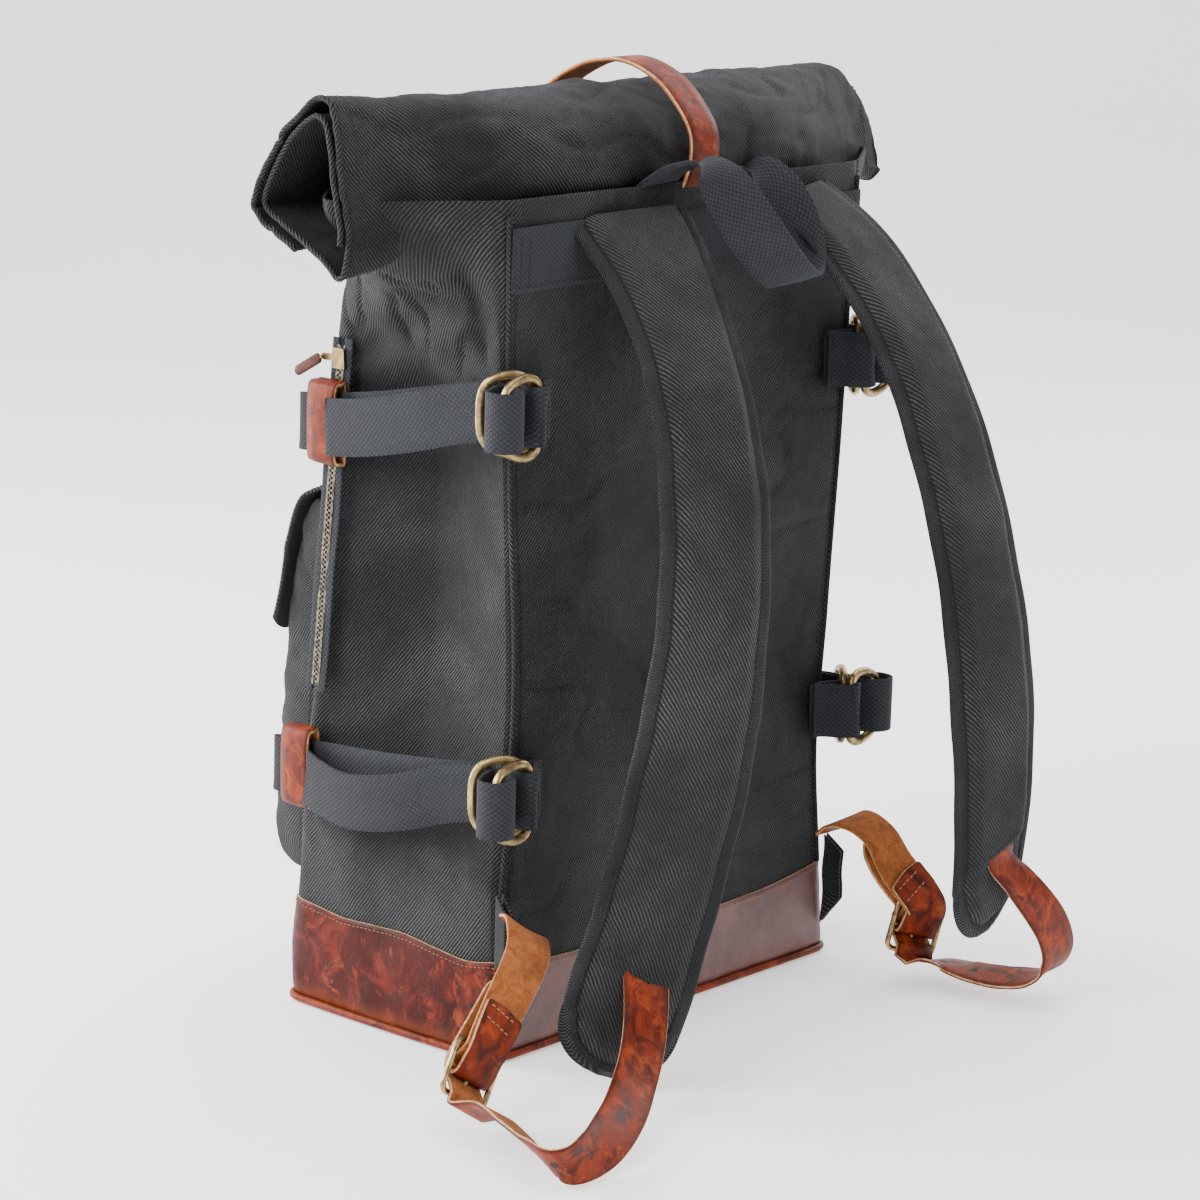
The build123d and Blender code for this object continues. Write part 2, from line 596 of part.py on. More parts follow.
for side, sx in SIDES:
    for level, (z_ring, z_front) in STRAP_LEVELS.items():
        name = level + "_" + side
        d_rings(name, sx, z_ring)
        prism("ring_loop_" + name, Plane.XY.offset(z_ring - LOOP_W / 2),
              [(sx * x, y) for x, y in strip_outline(LOOP_PATH, LOOP_T)], LOOP_W)
        side_webbing(name, sx, z_ring, z_front)

# ---------------------------------------------------------------- closure strap over the roll
CLOSURE = Buckle((0, -62.5, 418), across=(1, 0, 0), along=(0, LEAN, 1), out_y=-1)
# Chape (along, out): up the front, round the centre bar and back down
CHAPE = [(-74, -7.9), (-50, -7.9), (-24, -7.8), (-14, -7.2), (-6, -5.4), (0, -3.7), (2.8, -2.2),
         (3.8, 0), (2.7, 2.6), (0, 3.7), (-4, 2.6), (-9, -1.0), (-14, -3.7), (-22, -4.9),
         (-42, -5.2)]
# Strap (y, z) from the back over the roll, then (along, out) through the buckle
CLOSURE_OVER = [(89.4, 489), (96.5, 511), (92.8, 530), (83.5, 543), (69, 557), (53, 565),
                (38, 569), (26, 568), (11, 565), (-5, 558.5), (-20, 549), (-36, 534),
                (-46.5, 514), (-49.5, 496), (-54, 470), (-59, 449)]
CLOSURE_TAIL = [(20, -3.8), (15.5, -3.8), (10, 0), (5, 4.0), (0, 6.6), (-8, 7.2), (-16, 5.8),
                (-30, 2.2), (-46, -0.8), (-58, -1.8)]

bar_strap("closure_chape", resample(CLOSURE.rows(CHAPE), 46), CLOSURE)
over_rows = [(0, y, z, 1, 0, 0) for y, z in CLOSURE_OVER]
holed_strap("closure_strap", resample(np.vstack([over_rows, CLOSURE.rows(CLOSURE_TAIL)]), 80),
            BELT_W - 2, CLOSURE, 6.0, -4)
buckle_frame("closure_buckle_frame", CLOSURE)
buckle_prong("closure_buckle_prong", CLOSURE, lean=1)

# ---------------------------------------------------------------- front pocket and flap
# Side profiles (y, z); the hollow runs past the rim, so the pocket is open on top
POCKET_OUTER = [(-85.4, 70), (-65.2, 300), (-112, 300), (-124, 262), (-131, 215), (-135, 150),
                (-138, 96), (-129, 70)]
POCKET_HOLLOW = [(-87.8, 72.4), (-67.3, 301), (-109.5, 301), (-121.8, 262.3), (-128.7, 214.8),
                 (-132.7, 149.8), (-135.6, 96.4), (-127.4, 72.4)]
FLAP_PATH = [(-64.6, 317), (-78, 314), (-104, 307.5), (-118, 298), (-128, 268), (-136.5, 214)]
FLAP_W = POCKET_W + 6

with BuildPart() as front_pocket:
    for outline, width, mode in ((POCKET_OUTER, POCKET_W, Mode.ADD),
                                 (POCKET_HOLLOW, POCKET_W - 4.4, Mode.SUBTRACT)):
        with BuildSketch(Plane.YZ.offset(-width / 2)):
            with BuildLine():
                Polyline(*outline, close=True)
            make_face()
        extrude(amount=width, mode=mode)
save(front_pocket, "front_pocket")

prism("pocket_flap", Plane.YZ.offset(-FLAP_W / 2), strip_outline(FLAP_PATH, 2.4), FLAP_W)

# ---------------------------------------------------------------- zip on the right side
ZIP_LO, ZIP_HI = 196.0, 410.0
TAPE_X, TEETH_X, SLIDER_X, PULL_X = HX + 0.3, HX + 1.15, HX + 2.5, HX + 4.6
TOOTH_PITCH = 1.5
SLIDER_Z = 398.0
SLIDER_Y = lean_y(SLIDER_Z)     # front edge of the side at the slider
SLIDER_HALF_H = 6.0
PIVOT_Y = SLIDER_Y - 3


def zip_band(near, far, z_low, z_high):
    """Band on the side face, from near to far behind the leaning front edge."""
    low_y, high_y = lean_y(z_low), lean_y(z_high)
    return [(low_y + near, z_low), (high_y + near, z_high), (high_y + far, z_high),
            (low_y + far, z_low)]


prism("zipper_tape", Plane.YZ.offset(TAPE_X), zip_band(2, 16, ZIP_LO, ZIP_HI), 0.8)

# two cords, with teeth set alternately between them
with BuildPart() as zipper_teeth:
    for near in (5.9, 10.6):
        with BuildSketch(Plane.YZ.offset(TEETH_X)):
            with BuildLine():
                Polyline(*zip_band(near, near + 1.5, ZIP_LO + 4, ZIP_HI - 4), close=True)
            make_face()
        extrude(amount=0.7)
    teeth = [(float(lean_y(z) + (7.9 if i % 2 else 10.1)), float(z))
             for i, z in enumerate(np.arange(ZIP_LO + 6, ZIP_HI - 5, TOOTH_PITCH))]
    with BuildSketch(Plane.YZ.offset(TEETH_X)):
        with Locations(*teeth):
            Rectangle(2.3, 1.3)
    extrude(amount=1.0)
save(zipper_teeth, "zipper_teeth")

# tapered body with a forward lug, and the pin the pull hangs on
with BuildPart() as zipper_slider:
    with BuildSketch(Plane.YZ.offset(SLIDER_X)):
        with BuildLine():
            Polyline((SLIDER_Y + 4.2, SLIDER_Z - SLIDER_HALF_H),
                     (SLIDER_Y + 13.8, SLIDER_Z - SLIDER_HALF_H),
                     (SLIDER_Y + 13.0, SLIDER_Z + SLIDER_HALF_H),
                     (SLIDER_Y + 5.0, SLIDER_Z + SLIDER_HALF_H), close=True)
        make_face()
        with Locations((SLIDER_Y + 1, SLIDER_Z)):
            SlotOverall(12, 4)
    extrude(amount=1.2)
    with BuildSketch(Plane.YZ.offset(SLIDER_X)):
        with Locations((PIVOT_Y, SLIDER_Z)):
            Circle(1.0)
    extrude(amount=4.3)
save(zipper_slider, "zipper_slider")

with BuildPart() as zipper_pull:
    with BuildSketch(Plane(origin=(PULL_X, PIVOT_Y, SLIDER_Z), x_dir=(0, -0.86, -0.51),
                           z_dir=(1, 0, 0))):
        with Locations((14, 0)):
            SlotOverall(36, 6.4)
        Circle(1.35, mode=Mode.SUBTRACT)
    extrude(amount=1.6)
save(zipper_pull, "zipper_pull")
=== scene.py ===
# A roll-top backpack: charcoal twill on a red leather base, with a rolled top held by a leather
# strap, a flapped front pocket, webbing straps with D-rings on both sides, a webbing handle and
# two padded shoulder straps. It stands on z = 0, centred on x = 0. Its back, with the shoulder
# straps, faces +y, its front faces -y, and "right" is +x.
# Shapes are in millimetres and make() turns them into metres. Lights and camera are in metres.
import bmesh
import bpy
import math
import random
from types import SimpleNamespace

import numpy as np
from mathutils import Vector, Matrix, noise as mnoise


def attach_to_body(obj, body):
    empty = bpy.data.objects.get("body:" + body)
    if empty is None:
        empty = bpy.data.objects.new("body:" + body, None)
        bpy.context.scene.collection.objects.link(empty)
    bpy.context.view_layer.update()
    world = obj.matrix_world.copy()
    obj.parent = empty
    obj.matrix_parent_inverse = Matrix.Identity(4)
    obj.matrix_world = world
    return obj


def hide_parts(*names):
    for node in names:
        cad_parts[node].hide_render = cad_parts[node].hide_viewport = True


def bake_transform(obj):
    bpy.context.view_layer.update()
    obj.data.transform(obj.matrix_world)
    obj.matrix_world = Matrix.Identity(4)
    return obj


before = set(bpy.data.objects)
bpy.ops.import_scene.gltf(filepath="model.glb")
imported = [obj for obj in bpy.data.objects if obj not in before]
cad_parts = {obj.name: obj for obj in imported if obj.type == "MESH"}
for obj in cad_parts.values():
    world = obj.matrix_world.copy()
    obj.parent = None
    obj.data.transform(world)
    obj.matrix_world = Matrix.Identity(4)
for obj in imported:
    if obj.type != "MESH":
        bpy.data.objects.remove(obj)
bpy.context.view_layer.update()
random.seed(7)
rng = np.random.default_rng(7)
MM = 0.001
BAG = "bag"
SIDES = {"right": 1, "left": -1}


# ================================================================ materials
class Shader:
    """Builds one material's nodes around a Principled BSDF."""

    SOCKETS = dict(colour="Base Color", rough="Roughness", metal="Metallic", normal="Normal",
                   sheen="Sheen Weight", sheen_rough="Sheen Roughness",
                   specular="Specular IOR Level")

    def __init__(self, name):
        self.mat = bpy.data.materials.new(name)
        self.mat.use_nodes = True
        self.tree = self.mat.node_tree
        self.tree.nodes.clear()
        output = self.tree.nodes.new("ShaderNodeOutputMaterial")
        self.bsdf = self.tree.nodes.new("ShaderNodeBsdfPrincipled")
        self.tree.links.new(self.bsdf.outputs[0], output.inputs[0])

    def feed(self, socket, value):
        """Link a socket, or set a number, vector or colour."""
        if isinstance(value, bpy.types.NodeSocket):
            self.tree.links.new(value, socket)
        elif isinstance(value, tuple) and socket.type == 'RGBA':
            socket.default_value = (*value, 1)
        else:
            socket.default_value = value

    def node(self, kind, inputs, **settings):
        node = self.tree.nodes.new(kind)
        for key, value in settings.items():
            setattr(node, key, value)
        for key, value in inputs.items():
            self.feed(node.inputs[key], value)
        return node

    def math(self, operation, *values):
        return self.node("ShaderNodeMath", dict(enumerate(values)), operation=operation).outputs[0]

    def add(self, a, b):
        return self.math("ADD", a, b)

    def sub(self, a, b):
        return self.math("SUBTRACT", a, b)

    def mul(self, a, b):
        return self.math("MULTIPLY", a, b)

    def inverse(self, value):
        return self.sub(1.0, value)

    def swing(self, value, reach):
        """Centre a 0 to 1 value on zero and scale it."""
        return self.mul(self.sub(value, .5), reach)

    def wave(self, value, period):
        return self.math("SINE", self.mul(value, 2 * math.pi / period))

    def mix(self, amount, a, b):
        return self.node("ShaderNodeMix", {0: amount, 6: a, 7: b}, data_type='RGBA').outputs[2]

    def ramp(self, value, over, to=(0.0, 1.0)):
        """Smooth step as value crosses the range over."""
        inputs = {0: value, 1: over[0], 2: over[1], 3: to[0], 4: to[1]}
        return self.node("ShaderNodeMapRange", inputs, interpolation_type='SMOOTHSTEP').outputs[0]

    def noise(self, vector, scale, detail=2.0, rough=.5, warp=0.0):
        return self.node("ShaderNodeTexNoise", {
            "Vector": vector, "Scale": scale, "Detail": detail,
            "Roughness": rough, "Distortion": warp}).outputs[0]

    def spots(self, vector, over, to=(0.0, 1.0), **noise):
        return self.ramp(self.noise(vector, **noise), over, to)

    def cells(self, vector, scale):
        return self.node("ShaderNodeTexVoronoi", {"Vector": vector, "Scale": scale},
                         feature='DISTANCE_TO_EDGE').outputs["Distance"]

    def stretch(self, vector, scale):
        return self.node("ShaderNodeMapping", {"Vector": vector, "Scale": scale}).outputs[0]

    def place(self):
        return self.node("ShaderNodeTexCoord", {}).outputs["Object"]

    def uv(self):
        return self.node("ShaderNodeUVMap", {}).outputs[0]

    def in_mm(self, uv):
        """u and v in millimetres; the UV maps are in metres."""
        split = self.node("ShaderNodeSeparateXYZ", {0: uv})
        return self.mul(split.outputs[0], 1000.0), self.mul(split.outputs[1], 1000.0)

    def edge(self):
        """Millimetres in from the piece's edge."""
        return self.node("ShaderNodeAttribute", {}, attribute_name="edge").outputs["Fac"]

    def bump(self, height, depth, strength=1.0, over=None):
        inputs = {"Height": height, "Distance": depth, "Strength": strength}
        if over is not None:
            inputs["Normal"] = over
        return self.node("ShaderNodeBump", inputs).outputs[0]

    def finish(self, **inputs):
        for key, value in inputs.items():
            self.feed(self.bsdf.inputs[self.SOCKETS[key]], value)
        return self.mat


def scaled(colour, factor):
    return tuple(channel * factor for channel in colour)


def cloth_tone(n, place, dark, light, rib, fuzz, lint=True):
    """Charcoal in cloudy tones with lint, and painted highlights on the rib tops, stronger in
    cloudy patches.
    """
    colour = n.mix(n.spots(place, over=(.30, .72), scale=7, detail=5, rough=.6), dark, light)
    # cloudy patches where the painted rib highlight is stronger
    rib_highlight_patches = n.spots(place, over=(.34, .68), to=(.25, 1), scale=12, detail=4, rough=.6, warp=.4)
    # painted highlight on the rib tops: rib and fuzz weights
    streak = n.ramp(n.add(n.mul(rib, .70), n.swing(fuzz, reach=2.8)), over=(-.15, 1.20))
    # lay the painted rib highlight on the colour
    colour = n.mix(n.mul(n.mul(streak, rib_highlight_patches), .95), colour, scaled(light, 11.0))
    if lint:
        speck = n.spots(place, over=(.735, .80), scale=620)
        patch = n.spots(place, over=(.50, .62), scale=23)
        colour = n.mix(n.mul(n.mul(speck, patch), .30), colour, (.42, .42, .40))
    return colour


def twill(name, dark=(.0036, .0038, .0043), light=(.0098, .0101, .0110), pitch=1.85, flip=1.0,
          bound=False):
    """Diagonal twill. flip = -1 leans the ribs the other way; bound adds an edge binding."""
    n = Shader(name)
    uv = n.uv()
    u, v = n.in_mm(uv)
    place = n.place()
    wobble = n.swing(n.noise(uv, scale=60), reach=2.2)
    # ribs and threads run along the 3-4-5 diagonals
    diagonal = n.add(n.add(n.mul(u, 0.80 * flip), n.mul(v, 0.60)), wobble)
    rib = n.wave(diagonal, period=pitch)
    thread = n.wave(n.sub(n.mul(v, 0.80), n.mul(u, 0.60 * flip)), period=1.5)
    fuzz = n.noise(uv, scale=1400, detail=3, rough=.65)
    # height weights of rib, thread and fuzz
    height = n.add(n.mul(rib, .5), n.add(n.mul(thread, .12), n.mul(fuzz, .9)))
    colour = cloth_tone(n, place, dark, light, rib, fuzz)
    if bound:
        edge = n.edge()
        # chevron ribs folded about the middle of the binding
        chevron = n.add(n.mul(v, .9), n.mul(n.math("PINGPONG", edge, 3.6), 1.1))
        tape_rib = n.wave(chevron, period=1.55)
        tape_height = n.add(n.mul(tape_rib, .6), n.mul(fuzz, .7))
        tape = cloth_tone(n, place, scaled(dark, .85), scaled(light, .95), tape_rib, fuzz, False)
        inside = n.ramp(edge, over=(7.7, 7.9))
        height = n.add(n.mul(height, inside), n.mul(tape_height, n.inverse(inside)))
        colour = n.mix(inside, tape, colour)
        # dark line where the binding ends
        line = n.inverse(n.ramp(n.math("ABSOLUTE", n.sub(edge, 7.9)), over=(.3, 1.1)))
        colour = n.mix(n.mul(line, .75), colour, (.004, .004, .005))
    soft = n.bump(n.noise(place, scale=34, detail=3), depth=.0012, strength=.5)
    return n.finish(colour=colour, rough=.78, normal=n.bump(height, depth=.00065, over=soft),
                    sheen=.02, sheen_rough=.4, specular=.22)


def webbing(name, dark=(.0046, .0049, .0060), light=(.0125, .0135, .0160)):
    n = Shader(name)
    uv = n.uv()
    u, v = n.in_mm(uv)
    place = n.place()
    wobble = n.swing(n.noise(uv, scale=160), reach=.8)
    across = n.wave(n.add(u, wobble), period=3.0)
    along = n.wave(n.add(v, wobble), period=3.5)
    weave = n.mul(across, along)
    fuzz = n.noise(uv, scale=1700, detail=3, rough=.7)
    # height weights of weave, rows and fuzz
    height = n.add(n.mul(weave, .45),
                   n.add(n.mul(n.math("ABSOLUTE", along), .35), n.mul(fuzz, .9)))
    colour = n.mix(n.spots(place, over=(.3, .7), scale=14, detail=4), dark, light)
    tone = n.ramp(n.add(n.mul(weave, .5), n.swing(fuzz, reach=1.7)), over=(-.9, 1))
    colour = n.mix(n.mul(tone, .80), colour, scaled(light, 3.4))
    lint = n.spots(place, over=(.74, .80), scale=540)
    colour = n.mix(n.mul(lint, .22), colour, (.4, .4, .4))
    return n.finish(colour=colour, rough=.85, normal=n.bump(height, depth=.00055, strength=.9),
                    sheen=.03, sheen_rough=.4, specular=.22)


def base_leather(name, deep, mid, warm, mottle, veining, specular, painted_sheen=None):
    """Creased leather. mottle, veining: strength of the pale areas; painted_sheen: (amount, colour)
    of a painted sheen laid over the colour.
    """
    n = Shader(name)
    place = n.place()
    cloud = n.spots(place, over=(.34, .66), scale=11, detail=6, rough=.62, warp=.8)
    fine = n.spots(place, over=(.44, .70), scale=48, detail=6, rough=.68, warp=1.2)
    pull = n.spots(place, over=(.45, .65), scale=26, detail=4, rough=.6, warp=2.6)
    colour = n.mix(cloud, deep, mid)
    colour = n.mix(n.mul(fine, mottle), colour, warm)
    # pale stretch veins
    ridge = n.math("ABSOLUTE", n.sub(n.noise(place, scale=17, detail=5, rough=.55, warp=1.6), .5))
    vein = n.mul(n.inverse(n.ramp(ridge, over=(.004, .028))), pull)
    colour = n.mix(n.mul(vein, veining), colour, (.30, .045, .010))
    stain = n.spots(place, over=(.56, .74), scale=6, detail=3, warp=.6)
    colour = n.mix(n.mul(stain, .70), colour, scaled(deep, .55))
    # lighter lower rim
    z = n.node("ShaderNodeSeparateXYZ", {0: place}).outputs[2]
    rim = n.inverse(n.ramp(z, over=(.004, .016)))
    colour = n.mix(n.mul(rim, .45), colour, (.20, .045, .012))
    pores = n.ramp(n.cells(place, scale=620), over=(0, .25))
    creases = n.inverse(n.ramp(ridge, over=(0, .02)))
    # height weights of pores, grain and creases
    grain = n.noise(place, scale=210, detail=5, rough=.6)
    height = n.add(n.mul(pores, .35), n.add(n.mul(grain, .8), n.mul(creases, -.35)))
    soft = n.bump(n.noise(place, scale=30, detail=4, rough=.55), depth=.0016, strength=.55)
    rough = n.spots(place, over=(.3, .7), to=(.36, .54), scale=36, detail=4)
    # painted sheen: a pale veil laid over the whole colour
    if painted_sheen:
        colour = n.mix(painted_sheen[0], colour, painted_sheen[1])
    return n.finish(colour=colour, rough=rough, specular=specular,
                    normal=n.bump(height, depth=.00030, strength=.70, over=soft))


def strap_leather(name, dark=(.036, .0046, .0019), mid=(.185, .0210, .0045),
                  warm=(.36, .060, .0100), age=.42):
    """Smooth strap leather with darkened edges. age: strength of the dark blotches."""
    n = Shader(name)
    streak = n.stretch(n.uv(), (1.5, .8, 1))
    place = n.place()
    cloud = n.noise(streak, scale=60, detail=5, rough=.6, warp=.9)
    colour = n.mix(n.ramp(cloud, over=(.32, .66)), dark, mid)
    mottle = n.spots(place, over=(.46, .72), scale=85, detail=5, rough=.65, warp=1)
    colour = n.mix(n.mul(mottle, .62), colour, warm)
    burn = n.inverse(n.ramp(n.edge(), over=(.2, 2.8)))
    colour = n.mix(n.mul(burn, .58), colour, scaled(dark, .6))
    blotch = n.spots(place, over=(.55, .72), scale=19, detail=3)
    colour = n.mix(n.mul(blotch, age), colour, dark)
    # height weights of cells and streaks
    height = n.add(n.mul(n.ramp(n.cells(place, scale=900), over=(0, .3)), .4),
                   n.mul(n.noise(streak, scale=420, detail=4, rough=.6), .8))
    soft = n.bump(n.noise(place, scale=60, detail=3), depth=.0008, strength=.5)
    return n.finish(colour=colour, rough=n.ramp(cloud, over=(.3, .7), to=(.40, .56)),
                    normal=n.bump(height, depth=.00022, strength=.7, over=soft), specular=.15)


def suede(name, dark=(.215, .060, .0145), light=(.40, .125, .033)):
    n = Shader(name)
    place = n.place()
    fibre = n.noise(n.stretch(n.uv(), (2.2, .8, 1)), scale=900, detail=5, rough=.75, warp=.6)
    nap = n.noise(place, scale=150, detail=5, rough=.65, warp=.8)
    colour = n.mix(n.ramp(nap, over=(.3, .7)), dark, light)
    # painted highlight on the fibres
    colour = n.mix(n.mul(n.ramp(fibre, over=(.5, .72)), .45), colour, (.62, .26, .085))
    blotch = n.spots(place, over=(.52, .72), scale=55, detail=4)
    colour = n.mix(n.mul(blotch, .55), colour, (.115, .036, .011))
    height = n.add(n.mul(fibre, 1.0), n.mul(nap, .6))
    return n.finish(colour=colour, rough=.93, normal=n.bump(height, depth=.0007, strength=.9),
                    sheen=.04, sheen_rough=.5, specular=.12)


def raw_edge(name):
    n = Shader(name)
    place = n.place()
    layers = n.noise(place, scale=420, detail=4, rough=.7)
    colour = n.mix(n.ramp(layers, over=(.35, .7)), (.33, .16, .065), (.62, .38, .19))
    stain = n.spots(place, over=(.55, .7), scale=70, detail=3)
    colour = n.mix(n.mul(stain, .5), colour, (.16, .06, .022))
    return n.finish(colour=colour, rough=.72, specular=.3,
                    normal=n.bump(layers, depth=.0003, strength=.8))


def brass(name, clean=(.46, .33, .15), dull=(.15, .105, .055)):
    n = Shader(name)
    place = n.place()
    tarnish = n.noise(place, scale=120, detail=5, rough=.65, warp=.6)
    colour = n.mix(n.ramp(tarnish, over=(.36, .66)), clean, dull)
    pits = n.spots(place, over=(.62, .74), scale=420, detail=3)
    colour = n.mix(n.mul(pits, .6), colour, (.05, .036, .022))
    scratches = n.noise(n.stretch(place, (1, 1, 9)), scale=300, detail=4, rough=.6)
    return n.finish(colour=colour, metal=1.0, normal=n.bump(scratches, depth=.00012, strength=.5),
                    rough=n.ramp(tarnish, over=(.3, .7), to=(.27, .50)))


def zip_metal(name):
    n = Shader(name)
    tone = n.noise(n.place(), scale=400, detail=4)
    colour = n.mix(n.ramp(tone, over=(.35, .65)), (.20, .175, .13), (.07, .06, .045))
    return n.finish(colour=colour, metal=1.0, normal=n.bump(tone, depth=.00006, strength=.4),
                    rough=n.ramp(tone, over=(.3, .7), to=(.38, .55)))


def thread(name, colour):
    n = Shader(name)
    tone = n.noise(n.place(), scale=1500, detail=3, rough=.7)
    return n.finish(colour=n.mix(n.ramp(tone, over=(.35, .7)), scaled(colour, .6), colour),
                    rough=.7, normal=n.bump(tone, depth=.0001, strength=.7), specular=.3)


def lining(name, frequency=4.2):
    n = Shader(name)
    uv = n.uv()
    u, v = n.in_mm(uv)
    weave = n.mul(n.math("SINE", n.mul(u, frequency)), n.math("SINE", n.mul(v, frequency)))
    fuzz = n.noise(uv, scale=900, detail=3)
    colour = n.mix(n.ramp(n.add(weave, fuzz), over=(-.6, 1.6)),
                   (.020, .021, .024), (.045, .047, .052))
    return n.finish(colour=colour, rough=.9, specular=.2,
                    normal=n.bump(n.add(weave, fuzz), depth=.0002, strength=.7))


def punched_hole(name):
    # a punched hole as a dark disc: painted shade in place of the hole
    n = Shader(name)
    tone = n.spots(n.place(), over=(.3, .7), scale=900)
    return n.finish(colour=n.mix(tone, (.010, .004, .003), (.028, .010, .006)), rough=.8)


def floor_paint(name):
    """Near-white floor that also glows."""
    n = Shader(name)
    tone = n.spots(n.place(), over=(.3, .7), scale=3)
    n.bsdf.inputs["Emission Color"].default_value = (1, 1, 1, 1)
    n.bsdf.inputs["Emission Strength"].default_value = .55
    return n.finish(colour=n.mix(tone, (.93, .93, .93), (.95, .95, .95)), rough=.75, specular=.2)


MAT = SimpleNamespace(
    twill=twill("twill"),
    twill_mirrored=twill("twill_mirrored", flip=-1.0),
    twill_pad=twill("twill_pad", dark=(.0042, .0044, .0050), light=(.0108, .0112, .0122),
                    pitch=1.95, flip=-1.0, bound=True),
    web=webbing("webbing"),
    web_dark=webbing("webbing_dark", dark=(.0050, .0056, .0068), light=(.0115, .0126, .0150)),
    base=base_leather("base_leather", deep=(.009, .0013, .0009), mid=(.046, .0036, .0016),
                      warm=(.150, .0140, .0034), mottle=.80, veining=.55, specular=.14),
    # Back strip: its own smoother leather, with its colours also lifted as painted light, and a
    # purple-grey painted sheen laid over them
    base_back=base_leather("base_leather_back", deep=(.034, .011, .010), mid=(.105, .036, .030),
                           warm=(.20, .060, .036), mottle=.35, veining=.18, specular=.5,
                           painted_sheen=(.36, (.135, .075, .078))),
    piping=strap_leather("piping_leather", dark=(.05, .007, .0025), mid=(.19, .026, .007),
                         warm=(.36, .070, .016), age=.3),
    grain=strap_leather("strap_grain"),
    # a darker copy of strap_grain: painted shade on the left anchor strap; the zip pull uses it too
    grain_dark=strap_leather("strap_grain_dark", dark=(.022, .0045, .003),
                             mid=(.10, .015, .006), warm=(.22, .042, .011)),
    suede=suede("strap_suede"),
    edge=raw_edge("raw_edge"),
    brass=brass("antique_brass"),
    zip_metal=zip_metal("zip_metal"),
    tan=thread("thread_tan", (.42, .21, .10)),
    brown=thread("thread_brown", (.30, .13, .06)),
    dark=thread("thread_dark", (.022, .024, .028)),
    lining=lining("lining_cloth"),
    hole=punched_hole("hole_painted_shade"),
)
CLOTH = [MAT.twill] * 3
WEB = [MAT.web] * 3
WEB_DARK = [MAT.web_dark] * 3
GRAIN_OUT = [MAT.grain, MAT.suede, MAT.edge]
SUEDE_OUT = [MAT.suede, MAT.grain, MAT.edge]

# Stitch gauges: pitch, stitch length, thread radius
GAUGE = dict(
    seam=(3.2, 2.3, .28), strip=(3.2, 2.3, .3), panel=(3.2, 2.4, .34), fine=(3.0, 2.2, .3),
    hem=(3.3, 2.4, .3), flap=(3.3, 2.4, .32), base=(3.3, 2.4, .34),
    anchor=(3.6, 2.7, .45), chape=(3.6, 2.7, .42))


# ================================================================ curves and profiles
def unit(v):
    v = np.asarray(v, float)
    return v / (np.linalg.norm(v, axis=-1, keepdims=True) + 1e-12)


def smooth(x, start, end):
    """Smooth step from 0 at start to 1 at end; start may be the larger."""
    t = np.clip((np.asarray(x, float) - start) / (end - start), 0, 1)
    return t * t * (3 - 2 * t)


def bell(x, centre, width):
    return np.exp(-((np.asarray(x, float) - centre) / width) ** 2)


def hermite(x, xs, ys):
    """Smooth interpolation through (xs, ys), xs rising."""
    xs, ys = np.asarray(xs, float), np.asarray(ys, float)
    slope = np.gradient(ys, xs)
    x = np.clip(np.asarray(x, float), xs[0], xs[-1])
    i = np.clip(np.searchsorted(xs, x) - 1, 0, len(xs) - 2)
    gap = xs[i + 1] - xs[i]
    t = (x - xs[i]) / gap
    return ((2 * t ** 3 - 3 * t ** 2 + 1) * ys[i] + (t ** 3 - 2 * t ** 2 + t) * gap * slope[i]
            + (-2 * t ** 3 + 3 * t ** 2) * ys[i + 1] + (t ** 3 - t ** 2) * gap * slope[i + 1])


def arc_lengths(points):
    return np.r_[0, np.cumsum(np.linalg.norm(np.diff(points, axis=0), axis=1))]


def sample(values, at, wanted):
    """Each column of values, known at positions at, read at positions wanted."""
    return np.stack([np.interp(wanted, at, column) for column in values.T], 1)


def catmull_rom(points, steps):
    t = np.linspace(0, 1, steps, endpoint=False)[:, None]
    return np.vstack([
        0.5 * (2 * p1 + (p2 - p0) * t + (2 * p0 - 5 * p1 + 4 * p2 - p3) * t ** 2
               + (3 * p1 - p0 - 3 * p2 + p3) * t ** 3)
        for p0, p1, p2, p3 in zip(points, points[1:], points[2:], points[3:])])


def spline(rows, count=None, step=None):
    """Curve through rows, evenly spaced along their first three columns."""
    rows = np.asarray(rows, float)
    ends = np.vstack([2 * rows[0] - rows[1], rows, 2 * rows[-1] - rows[-2]])
    dense = np.vstack([catmull_rom(ends, 24), rows[-1:]])
    lengths = arc_lengths(dense[:, :3])
    if count is None:
        count = max(4, int(lengths[-1] / step) + 1)
    return sample(dense, lengths, np.linspace(0, lengths[-1], count))


def profile_curve(points, count):
    """Even open curve through two-column points."""
    return spline(np.c_[np.array(points, float), np.zeros(len(points))], count)[:, :2]


def smooth_closed(points, count):
    """Even closed curve through points."""
    points = np.asarray(points, float)
    dense = catmull_rom(np.vstack([points[-1:], points, points[:2]]), 20)
    dense = np.vstack([dense, dense[:1]])
    lengths = arc_lengths(dense)
    return sample(dense, lengths, np.linspace(0, lengths[-1], count, endpoint=False))


def fbm(points, size, seed, stretch=(1, 1, 1), octaves=3):
    """Smooth noise, about -1 to 1, with features of the given size."""
    points = np.asarray(points, float) * np.array(stretch)
    flat = points.reshape(-1, 3) / size + np.array([seed * 3.7, seed * 1.9, -seed * 2.3])
    out = np.array([mnoise.fractal(Vector(p), 0.6, 2.0, octaves, noise_basis='PERLIN_ORIGINAL')
                    for p in flat])
    return out.reshape(points.shape[:-1])


def creases(points, size, seed, stretch, width=.06):
    """1 along thin wandering lines, 0 between them."""
    return np.exp(-(fbm(points, size, seed, stretch, octaves=2) / width) ** 2)


